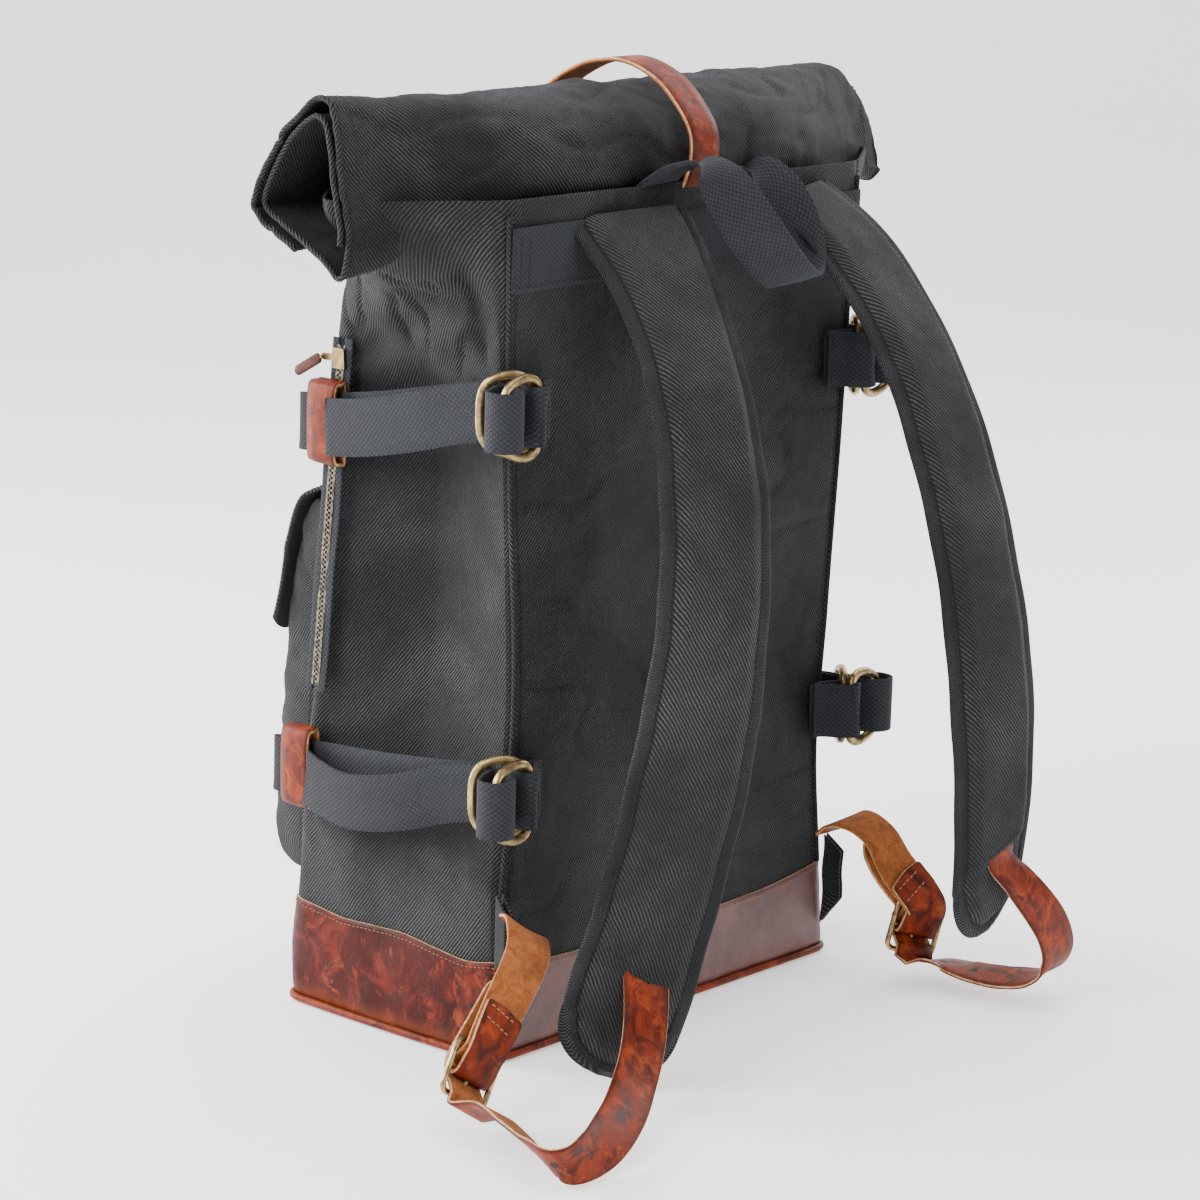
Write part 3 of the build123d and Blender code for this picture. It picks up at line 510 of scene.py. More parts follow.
# ================================================================ mesh builders
def make(name, verts, faces, mats, face_mats=None, uv=None, edge=None):
    """Smooth-shaded object. uv: per vertex, in metres. edge: per vertex, in mm."""
    mesh = bpy.data.meshes.new(name)
    mesh.from_pydata([tuple(map(float, v)) for v in np.asarray(verts) * MM], [],
                     [tuple(int(i) for i in f) for f in faces])
    for mat in mats:
        mesh.materials.append(mat)
    if face_mats is not None:
        mesh.polygons.foreach_set("material_index", np.asarray(face_mats, dtype=np.int32))
    mesh.polygons.foreach_set("use_smooth", np.ones(len(faces), dtype=bool))
    if uv is not None:
        corners = np.empty(len(mesh.loops), dtype=np.int32)
        mesh.loops.foreach_get("vertex_index", corners)
        layer = mesh.uv_layers.new(name="UVMap")
        layer.data.foreach_set("uv", np.asarray(uv, float)[corners].ravel())
    if edge is not None:
        layer = mesh.attributes.new("edge", 'FLOAT', 'POINT')
        layer.data.foreach_set("value", np.asarray(edge, dtype=np.float32))
    mesh.update()
    piece = bpy.data.objects.new(name, mesh)
    bpy.context.scene.collection.objects.link(piece)
    return piece


def fix_normals(piece):
    bm = bmesh.new()
    bm.from_mesh(piece.data)
    bmesh.ops.recalc_face_normals(bm, faces=bm.faces)
    bm.to_mesh(piece.data)
    bm.free()
    piece.data.update()


def attach(piece, slot, *replaced, body=BAG):
    """Fix a piece to a body and hide the CAD parts it replaces. slot is not used."""
    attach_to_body(piece, body)
    if replaced:
        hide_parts(*replaced)


def grid_faces(rows, cols, wrap_rows=False, wrap_cols=False):
    faces = []
    for i in range(rows if wrap_rows else rows - 1):
        for j in range(cols if wrap_cols else cols - 1):
            here, ahead = i * cols, (i + 1) % rows * cols
            side = (j + 1) % cols
            faces.append((here + j, ahead + j, ahead + side, here + side))
    return faces


def grid_normals(points, wrap_cols=False):
    if wrap_cols:
        across = np.roll(points, -1, 1) - np.roll(points, 1, 1)
    else:
        across = np.gradient(points, axis=1)
    return unit(np.cross(np.gradient(points, axis=0), across))


def outward(points, normals, centre):
    """Flip all the normals if they point at centre."""
    return normals * np.sign(((points - centre) * normals).sum(-1).mean())


def from_axis(points, normals):
    """Normals facing away from the bag's upright axis."""
    return outward(points, normals, points * (0, 0, 1) + (0, 5, 0))


def grid_uv(u, v):
    return np.stack(np.broadcast_arrays(u, v), -1) * MM


def make_rail(rows, step):
    """Curve with a frame. rows: centre x, y, z and width direction x, y, z."""
    even = spline(rows, step=step)
    centre = even[:, :3]
    tangent = unit(np.gradient(centre, axis=0))
    side = even[:, 3:6]
    side = unit(side - (side * tangent).sum(1, keepdims=True) * tangent)
    lengths = arc_lengths(centre)
    return SimpleNamespace(centre=centre, tangent=tangent, side=side,
                           normal=np.cross(tangent, side), lengths=lengths, total=lengths[-1])


def tip_rounding(distance):
    """Share of the half width left at a distance from a rounded tip, in tip lengths."""
    return np.sqrt(np.clip(1 - (1 - np.clip(distance, 0, 1)) ** 2.4, 0.02, 1))


def ribbon(name, rows, width, thick, mats, step, across=9, crown=0.0, round_end=0.0,
           round_start=0.0):
    """A strap along rows. mats: face on the rail's normal, opposite face, edge."""
    rail = make_rail(rows, step)
    s, total = rail.lengths, rail.total
    half = np.full(len(s), width / 2)
    if round_end:
        half = half * tip_rounding((total - s) / round_end)
    if round_start:
        half = half * tip_rounding(s / round_start)
    spread = np.linspace(-1, 1, across)
    # section: place across, height, material
    section = [(1, 0.0, 2), (.995, .62, 2)] + [(x, 1.0, 0) for x in spread[-2:0:-1]]
    section += [(-.995, .62, 0), (-1, 0.0, 2), (-.995, -.62, 2)]
    section += [(x, -1.0, 1) for x in spread[1:-1]] + [(.995, -.62, 1)]
    count = len(section)
    points = np.zeros((len(s), count, 3))
    uv = np.zeros((len(s), count, 2))
    edge = np.zeros((len(s), count))
    for j, (x, height, _) in enumerate(section):
        a = half * x
        if abs(height) == 1.0 and abs(x) == abs(spread[1]):
            # outermost face points sit close to the edge, to keep it crisp
            a = np.sign(x) * (half - np.minimum(.45, half * .3))
        rise = thick / 2 * height + crown * (1 - (a / np.maximum(half, 1e-6)) ** 2)
        points[:, j] = rail.centre + a[:, None] * rail.side + rise[:, None] * rail.normal
        uv[:, j, 0] = a * MM + (0.2 if height < 0 else 0)
        uv[:, j, 1] = s * MM
        edge[:, j] = np.minimum(half - np.abs(a), np.minimum(total - s, s + 50))
    faces, face_mats = [], []
    for i in range(len(s) - 1):
        for j in range(count):
            side = (j + 1) % count
            faces.append((i * count + j, i * count + side,
                          (i + 1) * count + side, (i + 1) * count + j))
            face_mats.append(section[j][2])
    for base, turn in ((0, 1), ((len(s) - 1) * count, -1)):
        for k in range(count // 2 - 1):
            quad = (base + k, base + k + 1, base + count - k - 2, base + count - k - 1)
            faces.append(quad[::turn])
            face_mats.append(2)
    strap = make(name, points.reshape(-1, 3), faces, mats, face_mats, uv.reshape(-1, 2),
                 edge.reshape(-1))
    fix_normals(strap)
    rail.thick = thick
    return strap, rail


def set_faces(strap, front, back):
    """Change the two face materials of a ribbon."""
    strap.data.materials[0] = front
    strap.data.materials[1] = back


def stitches(name, points, normals, mat, gauge, body=BAG, lift=.12, wander=.12):
    """A row of sewn stitches along points on a surface with the given normals."""
    pitch, length, radius = GAUGE[gauge]
    points, normals = np.asarray(points, float), np.asarray(normals, float)
    if normals.ndim == 1:
        normals = np.tile(normals, (len(points), 1))
    s = arc_lengths(points)
    verts, faces = [], []
    # the four sections of a stitch: share of radius, rise in radii, share of wander
    shape = ((.35, -.9, .5), (1, .35, 1), (1, .35, 1), (.35, -.9, .5))
    for i in range(int(s[-1] / pitch)):
        start = i * pitch + .3
        at = np.linspace(start, start + length, 4)
        centres = sample(points, s, at)
        ups = unit(sample(normals, s, at))
        side = unit(np.cross(ups[1], unit(centres[-1] - centres[0])))
        jitter = side * rng.normal(0, wander)
        base = len(verts)
        for centre, up, (size, rise, stray) in zip(centres, ups, shape):
            for k in range(6):
                angle = k * math.pi / 3
                verts.append(centre + jitter * stray
                             + up * (lift + rise * radius + math.sin(angle) * radius * size)
                             + side * math.cos(angle) * radius * size * 1.1)
        for row in (base, base + 6, base + 12):
            for k in range(6):
                side_k = (k + 1) % 6
                faces.append((row + k, row + side_k, row + 6 + side_k, row + 6 + k))
        faces.append(tuple(range(base + 5, base - 1, -1)))
        faces.append(tuple(range(base + 18, base + 24)))
    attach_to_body(make(name, verts, faces, [mat]), body)


def tube(name, path, radius, mat, sides=8, closed=False):
    path = np.asarray(path, float)
    count = len(path)
    if closed:
        tangent = unit(np.roll(path, -1, 0) - np.roll(path, 1, 0))
    else:
        tangent = unit(np.gradient(path, axis=0))
    first = np.zeros_like(path)
    axis = unit(np.cross(tangent[0], (0, 0, 1) if abs(tangent[0][2]) < .9 else (1, 0, 0)))
    for i in range(count):
        axis = unit(axis - (axis @ tangent[i]) * tangent[i])
        first[i] = axis
    second = np.cross(tangent, first)
    angle = np.linspace(0, 2 * np.pi, sides, endpoint=False)
    verts = path[:, None] + radius * (np.cos(angle)[None, :, None] * first[:, None]
                                      + np.sin(angle)[None, :, None] * second[:, None])
    faces = grid_faces(count, sides, wrap_rows=closed, wrap_cols=True)
    if not closed:
        faces.append(tuple(range(sides)))
        faces.append(tuple((count - 1) * sides + k for k in range(sides))[::-1])
    uv = grid_uv(angle[None] * radius, arc_lengths(path)[:, None])
    piece = make(name, verts.reshape(-1, 3), faces, [mat], uv=uv.reshape(-1, 2),
                 edge=np.full(count * sides, 6.0))
    fix_normals(piece)
    return piece


def shell(name, points, normals, thick, mats, uv, wrap_cols=False, edge=None):
    """Closed sheet: a grid and its copy thick below it. mats: outside, inside, rim."""
    rows, cols = points.shape[:2]
    under = rows * cols
    outer = grid_faces(rows, cols, wrap_cols=wrap_cols)
    inner = [tuple(i + under for i in f[::-1]) for f in outer]
    rim = []
    for a in range(cols if wrap_cols else cols - 1):
        b = (a + 1) % cols
        rim.append((a, b, under + b, under + a))
        c, d = (rows - 1) * cols + a, (rows - 1) * cols + b
        rim.append((d, c, under + c, under + d))
    if not wrap_cols:
        for a in range(0, (rows - 1) * cols, cols):
            b = a + cols
            rim.append((b, a, under + a, under + b))
            c, d = a + cols - 1, b + cols - 1
            rim.append((c, d, under + d, under + c))
    last = len(mats) - 1
    face_mats = [0] * len(outer) + [min(1, last)] * len(inner) + [min(2, last)] * len(rim)
    verts = np.vstack([points.reshape(-1, 3), (points - normals * thick).reshape(-1, 3)])
    if edge is not None:
        edge = np.r_[edge.ravel(), edge.ravel()]
    piece = make(name, verts, outer + inner + rim, mats, face_mats,
                 np.vstack([uv.reshape(-1, 2)] * 2), edge)
    fix_normals(piece)
    return piece


# ================================================================ bag body
# Heights, then the distance at each: half width of the back, and y of the front wall
BACK_HALF_RIGHT = ([0, 30, 61, 92, 129, 217, 340, 426, 490, 520],
                   [155, 152.5, 151.5, 153, 151, 146, 153, 157, 157, 157])
BACK_HALF_LEFT = ([0, 27, 63, 128, 224, 353, 426, 494, 520],
                  [155, 152.5, 149, 141, 147.5, 156, 157, 158, 158])
FRONT_Y = ([0, 28, 66, 163, 218, 310, 347, 401, 431, 454, 500],
           [-86.5, -89, -87.5, -80, -73, -70, -66, -58.5, -54, -49, -44])
# Height, and how far the upper sides stand out in a peak
SIDE_PEAK = ([0, 432, 445, 456, 466, 478, 490, 520], [0, 0, 7, 24, 38, 56, 70, 74])
BACK_Y = 84.2
BACK_COLS, SIDE_COLS = 64, 60         # ring columns on the back or front, and on a side
RING = 2 * (BACK_COLS + SIDE_COLS)
RIGHT_SEAM = BACK_COLS                # column of the right back seam; the left one is 0
FRONT_RIGHT = BACK_COLS + SIDE_COLS
FRONT_LEFT = FRONT_RIGHT + BACK_COLS
LEAN = 38.5 / 426                     # backward lean of the front, mm per mm of height


def lean_y(z):
    """y of the leaning line along the side's front edge."""
    return -85 + LEAN * (z - 62)


def ring_distance(column):
    """Columns between each ring point and the given one."""
    return np.abs((np.arange(RING) - column + RING / 2) % RING - RING / 2)


def body_ring(z):
    """Outline at height z: back (left to right), right side, front, left side."""
    front_y = float(hermite(z, *FRONT_Y))
    half_front = 153.5 + 1.5 * smooth(z, 60, 0)
    bulge = 3.0 + 6.5 * (1 - bell(z, 158, 34)) * (1 - bell(z, 362, 34)) * smooth(z, 60, 110)
    bulge = bulge * (1 - .4 * smooth(z, 430, 455)) * smooth(z, 0, 60) + 2 * (1 - smooth(z, 0, 60))
    peak = float(hermite(z, *SIDE_PEAK))

    def side(sign, table, s):
        half_back = float(hermite(z, *table))
        x = half_back + (half_front - half_back) * s + bulge * np.sin(np.pi * s) ** .8
        x = x + peak * (1 - np.abs(2 * s - 1.0) ** 1.35)
        return np.c_[sign * x, BACK_Y + (front_y - BACK_Y) * s]

    t = np.linspace(-1, 1, BACK_COLS, endpoint=False)
    back_x = np.where(t < 0, t * float(hermite(z, *BACK_HALF_LEFT)),
                      t * float(hermite(z, *BACK_HALF_RIGHT)))
    back_y = (BACK_Y + 1.5 * (1 - t ** 4) * smooth(z, 62, 120)
              + 1.2 * np.sin(np.pi * (t + 1) * 2.0 + z / 70) * smooth(z, 70, 150))
    t = np.linspace(1, -1, BACK_COLS, endpoint=False)
    bow = 5.0 * (1 - t ** 2) * smooth(z, 10, 80) * (1 - smooth(z, 400, 470) * .6)
    s = np.linspace(0, 1, SIDE_COLS, endpoint=False)
    ring = np.vstack([np.c_[back_x, back_y], side(1, BACK_HALF_RIGHT, s),
                      np.c_[t * half_front, front_y - bow], side(-1, BACK_HALF_LEFT, 1 - s)])
    # soften the front corners, keep the seamed back corners fairly sharp
    weight = np.zeros(RING)
    for column, strength, spread in ((0, .35, 2.0), (RIGHT_SEAM, .35, 2.0),
                                     (FRONT_RIGHT, 1.0, 4.6), (FRONT_LEFT, 1.0, 4.6)):
        weight = np.maximum(weight, strength * np.exp(-(ring_distance(column) / spread) ** 2))
    for _ in range(10):
        mean = (np.roll(ring, 1, 0) + np.roll(ring, -1, 0)) / 2
        ring = ring + (mean - ring) * weight[:, None]
    return np.c_[ring, np.full(RING, z)]


# Side webbing pulling the sides in: height at y = 0, rise per mm of y
STRAP_LINES = ((360, .10), (152, .06))
# Diagonal side folds: y, z, slope, depth, width
SIDE_FOLDS = ((60, 448, .52, -5.2, 13), (55, 412, .62, -4.0, 11), (20, 300, .85, -3.0, 12),
              (40, 236, .5, -3.0, 13), (20, 108, -.35, -2.6, 11))


def body_dent(points):
    """Soft folds and dents, mm outward."""
    x, y, z = points[..., 0], points[..., 1], points[..., 2]
    side = smooth(np.abs(x), 148, 156) * smooth(-y, -80, -60)
    back = smooth(y, 78, 83)
    dent = 2.2 * fbm(points, 62, 1.0, (1, 1, .62)) * (.55 + .65 * side)
    dent += .55 * fbm(points, 26, 4.0, (1, 1, .9)) * (.5 + .5 * side)
    # long creases
    dent += side * -2.6 * creases(points, 46, 9.0, (1, 1.2, .55), .07) * smooth(z, 80, 140)
    dent += back * -1.3 * creases(points, 70, 14.0, (.7, 1, 1.1)) * (1 - .4 * smooth(z, 300, 420))
    # sides drawn in under each strap
    for height, rise in STRAP_LINES:
        line = z - (height + rise * y)
        dent += side * (-3.0 * bell(line, 0, 17) + 1.4 * bell(line, 30, 14)
                        + 1.4 * bell(line, -30, 14))
    # gathers under the roll
    dent += .8 * (np.sin(y / 21 + 1.3 * np.sin(z / 55)) * side * smooth(z, 392, 470))
    for fold_y, fold_z, slope, depth, width in SIDE_FOLDS:
        line = (z - fold_z - slope * (y - fold_y)) / math.hypot(1, slope)
        fold = depth * bell(line, 0, width) - depth * .45 * bell(line, 1.9 * width, width)
        dent += side * fold * smooth(y, -78, -30) * smooth(z, 70, 100)
    # the front lies in behind the closure buckle
    dent -= 2.2 * bell(x, 0, 24) * bell(z, 412, 30) * smooth(-y, 30, 45)
    # slack between the front edge and the zip
    dent += side * 2.4 * bell(y, -30, 18) * bell(z, 265, 60)
    return dent


BODY_Z = np.r_[np.linspace(40, 440, 134), np.linspace(443, 503, 24)]
plain_body = np.array([body_ring(z) for z in BODY_Z])
BODY_NORMALS = from_axis(plain_body, grid_normals(plain_body, wrap_cols=True))
dents = (body_dent(plain_body) * smooth(plain_body[..., 2], 62, 80)
         * (1 - .5 * smooth(plain_body[..., 2], 485, 500)))
# the back seams keep their place
seam_hold = np.maximum(*(np.exp(-(ring_distance(c) / 2.0) ** 2) for c in (0, RIGHT_SEAM)))
BODY = plain_body + BODY_NORMALS * (dents * (1 - seam_hold[None]))[..., None]
RING_LENGTHS = arc_lengths(plain_body[40])
BODY_UV = grid_uv(RING_LENGTHS[None, :], (BODY_Z - BODY_Z[0])[:, None])


def body_panel(name, first, last, mat, *replaced):
    """The body cloth between two ring columns, inclusive; last may wrap to column 0."""
    wanted = np.arange(first, last + 1)
    columns = wanted % RING
    uv = BODY_UV[:, columns].copy()
    uv[:, wanted >= RING, 0] += RING_LENGTHS[-1] * MM
    panel = shell(name, BODY[:, columns], BODY_NORMALS[:, columns], 1.6,
                  [mat, MAT.lining, mat], uv)
    attach(panel, "canvas", *replaced)


body_panel("cloth_back", 0, RIGHT_SEAM, MAT.twill, "back_panel", "back_foam", "lining")
body_panel("cloth_side_right", RIGHT_SEAM, FRONT_RIGHT, MAT.twill, "side_panel_right")
body_panel("cloth_front", FRONT_RIGHT, FRONT_LEFT, MAT.twill, "front_panel")
body_panel("cloth_side_left", FRONT_LEFT, RING, MAT.twill_mirrored, "side_panel_left")


def on_body(column, heights, lift=0.0):
    """Points on the body at a fractional ring column, with their normals."""
    row = np.interp(heights, BODY_Z, np.arange(len(BODY_Z)))
    low = np.floor(row).astype(int)
    high = np.minimum(low + 1, len(BODY_Z) - 1)
    left = math.floor(column) % RING
    right = (left + 1) % RING
    up, over = (row - low)[:, None], column - math.floor(column)
    points = ((BODY[low, left] * (1 - up) + BODY[high, left] * up) * (1 - over)
              + (BODY[low, right] * (1 - up) + BODY[high, right] * up) * over)
    normals = unit(BODY_NORMALS[low, left] * (1 - over) + BODY_NORMALS[low, right] * over)
    return points + normals * lift, normals


def back_seam(tag, column, inward):
    """Welt with a topstitch on either side of it."""
    heights = np.linspace(60, 494, 220)
    path = on_body(column, heights)[0] + np.array([0, .6, 0])
    attach(tube("seam_welt_" + tag, path, 2.0, MAT.twill, 10), "canvas")
    for k, offset in ((1, 1.6), (2, -2.1)):
        points, normals = on_body(column + inward * offset, heights, .15)
        stitches(f"seam_stitch_{tag}_{k}", points, normals, MAT.dark, "seam")


back_seam("right", RIGHT_SEAM, -1)
back_seam("left", 0, 1)

# ================================================================ leather base
# Upper edge: place along the side (0 front, 1 back) or back (-1 left, 1 right), then height
SIDE_TOP = ([0, .15, .25, .4, .55, .7, .85, 1], [65, 62, 60, 60.5, 61, 58.5, 56.5, 61])
BACK_TOP = ([-1, -.6, -.3, 0, .4, .7, 1], [61.5, 54, 52.5, 52.5, 53, 54.5, 60])
FRONT_TOP = 63
BASE_Z = 2.6


def base_top(points):
    """Height of the leather's upper edge at ring points."""
    x, y = points[..., 0], points[..., 1]
    side = hermite(np.clip((y + 85) / 170, 0, 1), *SIDE_TOP)
    back = hermite(np.clip(x / 155, -1, 1), *BACK_TOP)
    is_front = (y < -76) & (np.abs(x) < 148)
    return np.where(y > 80, back, np.where(is_front, FRONT_TOP, side))


def base_band(name, columns, mat, lift, seam_thread, replaced):
    levels = 22
    heights = np.linspace(BASE_Z, 70, 36)
    rings = np.array([body_ring(z) for z in heights])
    ring_normals = from_axis(rings, grid_normals(rings, wrap_cols=True))
    columns = columns % RING
    tops = base_top(rings[30][columns])
    wall = np.zeros((levels, len(columns), 3))
    normals = np.zeros_like(wall)
    for j, column in enumerate(columns):
        wanted = np.linspace(2.8, tops[j], levels)
        wall[:, j] = sample(rings[:, column], heights, wanted)
        normals[:, j] = sample(ring_normals[:, column], heights, wanted)
    normals = unit(normals)
    z = wall[..., 2]
    puff = (lift + .9 * np.sin(np.pi * np.clip((z - 3) / 57, 0, 1)) + .8 * fbm(wall, 40, 3.0)
            + .35 * fbm(wall, 15, 6.0))
    points = wall + normals * (puff - 1.6 * smooth(z, 7, 2.6))[..., None]
    uv = grid_uv(arc_lengths(points[10])[None, :], z)
    band = shell(name, points, normals, 2.2, [mat, MAT.suede, MAT.edge], uv,
                 edge=np.full(points.shape[:2], 9.0))
    attach(band, "base_leather", replaced)
    # topstitch 3 mm below the edge
    line = np.array([sample(points[:, j], z[:, j], [top - 3.0])[0] for j, top in enumerate(tops)])
    stitches(name + "_stitch_0", line + normals[-1] * .1, normals[-1], seam_thread, "base")


def base_bottom():
    """Piping bead round the foot, and the leather plate inside it."""
    ring = body_ring(BASE_Z)
    normals = unit(np.cross(np.roll(ring, -1, 0) - np.roll(ring, 1, 0), (0, 0, 1)))
    path = ring + from_axis(ring, normals) * 2.0
    path[:, 2] = 2.7
    bead = tube("base_piping_bead", path, 2.3, MAT.piping, 12, closed=True)
    attach(bead, "base_leather", "base_piping")
    # shrinking rings of the plate: share of the outline, height
    plate = np.array([ring * (size, size, 0) + (0, 0, z) for size, z in (
        (1.0, .55), (.985, .25), (.93, .2), (.8, .6), (.6, .9), (.35, 1.0), (.1, 1.0))])
    down = np.zeros_like(plate)
    down[..., 2] = -1
    bottom = shell("leather_bottom", plate, down, 2.0, [MAT.base, MAT.suede, MAT.edge],
                   plate[..., :2] * MM, wrap_cols=True, edge=np.full(plate.shape[:2], 9.0))
    fan = [(i, (i + 1) % RING, RING) for i in range(RING)]
    centre = make("leather_bottom_centre", np.vstack([plate[-1] + (0, 0, .02), [[0, 0, 1.02]]]),
                  fan, [MAT.base], uv=np.vstack([plate[-1][:, :2], [[0, 0]]]) * MM)
    attach(bottom, "base_leather", "base_leather_bottom", "bottom_board")
    attach(centre, "base_leather")


base_band("leather_wrap", np.arange(RIGHT_SEAM, RING + 1), MAT.base, 1.5, MAT.brown,
          "base_leather_wrap")
base_band("leather_back", np.arange(0, RIGHT_SEAM + 1), MAT.base_back, 1.3, MAT.tan,
          "base_leather_back")
base_bottom()

# ================================================================ rolled top
# Outline (y, z) of the roll at the middle and at its ends
ROLL_MID = [(84, 500), (87, 514), (83, 531), (74, 545), (57, 554), (36, 558), (14, 556.5),
            (-5, 551), (-22, 541), (-34, 526), (-39, 509), (-36, 495), (-18, 490), (14, 489),
            (46, 490), (70, 492)]
ROLL_END = [(47, 482), (44, 500), (40, 520), (36.5, 540), (31, 555), (22, 561), (10, 556),
            (-2, 546), (-13, 533), (-22, 519), (-29, 505), (-32, 495), (-24, 489), (-2, 479),
            (18, 471), (38, 464)]
ROLL_X = np.linspace(-236, 240, 150)
ROLL_TURNS = 1.78
ROLL_POINTS = 190                     # along the rolled sheet
OUTLINE_POINTS = 96
ROLL_START = 12.2 / 16                # share of the outline at the sheet's outer end


def roll_section(x):
    """Outline of the roll at x, and the centre of its points."""
    far = smooth(abs(x), 60, 236)
    blend = far ** 1.25
    outline = np.array(ROLL_MID, float) * (1 - blend) + np.array(ROLL_END, float) * blend
    if x > 0:
        low = np.clip((505 - outline[:, 1]) / 40, 0, 1) * smooth(x, 150, 236)
        outline[:, 1] -= low * (4 + 9 * np.clip((outline[:, 0] + 10) / 50, 0, 1))
    if x < 0:
        outline[:, 1] -= 2.0 * far
        end = np.clip((abs(x) - 186) / 51, 0, 1)
        top = np.clip((outline[:, 1] - 474) / 80, 0, 1)
        outline[:, 1] -= 44 * top * (1 - math.sqrt(max(0, 1 - end * end)))
        outline[:, 1] += (15 * np.clip((486 - outline[:, 1]) / 14, 0, 1)
                          * smooth(abs(x), 165, 230))
    return smooth_closed(outline, OUTLINE_POINTS), outline.mean(0)


def rolled_top():
    # the sheet starts at the lower front and runs inwards over the top
    turn = np.linspace(0, ROLL_TURNS, ROLL_POINTS)
    at = (ROLL_START * OUTLINE_POINTS - turn * OUTLINE_POINTS) % OUTLINE_POINTS
    low = np.floor(at).astype(int) % OUTLINE_POINTS
    high = (low + 1) % OUTLINE_POINTS
    part = (at - np.floor(at))[:, None]
    shrink = 1 - .155 * smooth(turn, .10, 1.05) - .09 * smooth(turn, 1.0, ROLL_TURNS)
    roll = np.zeros((len(ROLL_X), ROLL_POINTS, 3))
    for i, x in enumerate(ROLL_X):
        ring, centre = roll_section(x)
        path = ring[low] * (1 - part) + ring[high] * part
        ripple = .02 * smooth(abs(x), 120, 236) * np.sin(turn * 7)
        roll[i, :, 0] = x + (0 if abs(x) < 200 else np.sign(x) * 2.0 * np.sin(turn * 5.0))
        roll[i, :, 1:] = centre + (path - centre) * (shrink + ripple)[:, None]
    normals = grid_normals(roll)
    from_middle = roll - roll.mean(1, keepdims=True)
    normals *= np.sign((from_middle * normals)[:, :96].sum(-1).mean())
    dent = 1.9 * fbm(roll, 42, 21.0, (.55, 1, 1)) + .9 * fbm(roll, 17, 22.0, (.8, 1, 1))
    dent += -1.4 * creases(roll, 50, 25.0, (.45, 1, 1))
    # the closure strap pulls the roll in a little
    x, top = roll[..., 0], smooth(roll[..., 2], 505, 530)
    dent += -2.6 * bell(x, 0, 17) * top + 1.0 * bell(np.abs(x), 30, 13) * top
    damp = np.where(np.arange(ROLL_POINTS) < 104, 1.0, .35)[None]
    roll = roll + normals * (dent * damp)[..., None]
    uv = grid_uv(ROLL_X[:, None], arc_lengths(roll[75])[None, :])
    cloth = shell("roll_cloth", roll, normals, 1.9,
                  [MAT.twill, MAT.twill_mirrored, MAT.twill], uv)
    attach(cloth, "canvas", "roll_top")
    # hem bead and stitch line at both open ends
    for tag, end, row in (("right", -1, -5), ("left", 0, 4)):
        bead = tube("roll_hem_" + tag, roll[end] + normals[end] * -.9, 1.75, MAT.twill_mirrored)
        attach(bead, "canvas")
        stitches("roll_hem_stitch_" + tag, roll[row][:120], normals[row][:120], MAT.dark, "hem")


rolled_top()


# ================================================================ webbing strip on the back
def back_strip():
    rows = [(x, 86.6 + .42 * math.sin(x / 23), 468 + 1.2 * math.sin(x / 60) + (x + 157) * .002,
             0, .03, 1) for x in np.linspace(-157, 156, 160)]
    strip, rail = ribbon("back_webbing_strip", rows, 37, 1.8, WEB_DARK, step=3)
    attach(strip, "webbing", "back_webbing")
    for k, z in ((1, 15.8), (2, -15.8)):
        stitches(f"back_strip_stitch_{k}", rail.centre + np.array([0, 1.0, z]), (0, 1, 0),
                 MAT.dark, "strip")
    for k, x in enumerate((150, 143)):
        points = [[x, 87.9, z] for z in np.linspace(453, 483, 12)]
        stitches(f"back_strip_end_{k}", points, (0, 1, 0), MAT.dark, "fine")


back_strip()

# ================================================================ shoulder pads
# Centre line from the top down: x, y, z, then width direction x, y, z
PAD_RIGHT = [
    (63.4, 90.0, 487.9, -.985, .12, .10), (67.3, 119.5, 457.2, -.972, .225, .066),
    (71.5, 143.0, 425.0, -.975, .223, .01), (76.1, 161.0, 390.5, -.97, .242, -.026),
    (81.1, 174.1, 354.2, -.958, .28, -.054), (86.6, 182.8, 316.5, -.94, .332, -.083),
    (92.7, 187.7, 277.6, -.914, .389, -.115), (99.3, 189.5, 238.1, -.883, .445, -.15),
    (106.6, 188.6, 198.1, -.848, .496, -.187), (114.6, 185.6, 158.2, -.813, .538, -.222),
    (123.4, 181.2, 118.7, -.783, .568, -.255), (133.0, 175.9, 80.0, -.761, .583, -.284),
    (143.2, 170.4, 42.4, -.76, .58, -.26), (151.5, 166.2, 12.5, -.775, .57, -.20)]
PAD_LEFT = [
    (-91.9, 90.3, 488.3, -.99, -.06, .10), (-97.8, 119.3, 468.4, -.987, -.097, .127),
    (-103.0, 144.0, 443.3, -.991, -.072, .114), (-107.4, 164.8, 413.9, -.994, -.046, .103),
    (-111.2, 182.2, 381.2, -.995, -.015, .095), (-114.4, 196.5, 346.1, -.996, .02, .088),
    (-117.0, 208.3, 309.5, -.995, .055, .081), (-119.2, 217.7, 272.2, -.994, .084, .071),
    (-120.9, 225.0, 234.6, -.993, .103, .058), (-122.3, 230.0, 196.9, -.993, .107, .044),
    (-123.4, 232.7, 159.2, -.996, .089, .029), (-124.3, 233.1, 121.9, -.999, .042, .019),
    (-124.9, 231.1, 85.0, -.999, -.042, .02), (-125.4, 226.7, 48.7, -.983, -.179, .036)]
PAD_HALF_WIDTH = 36.0
PAD_TIP = 34.0                        # length of the rounded lower end
PAD_COLS = 33                         # points across one face
PAD_STITCH_INSET = 6.6
PANEL_STITCH_GAP = 3.2


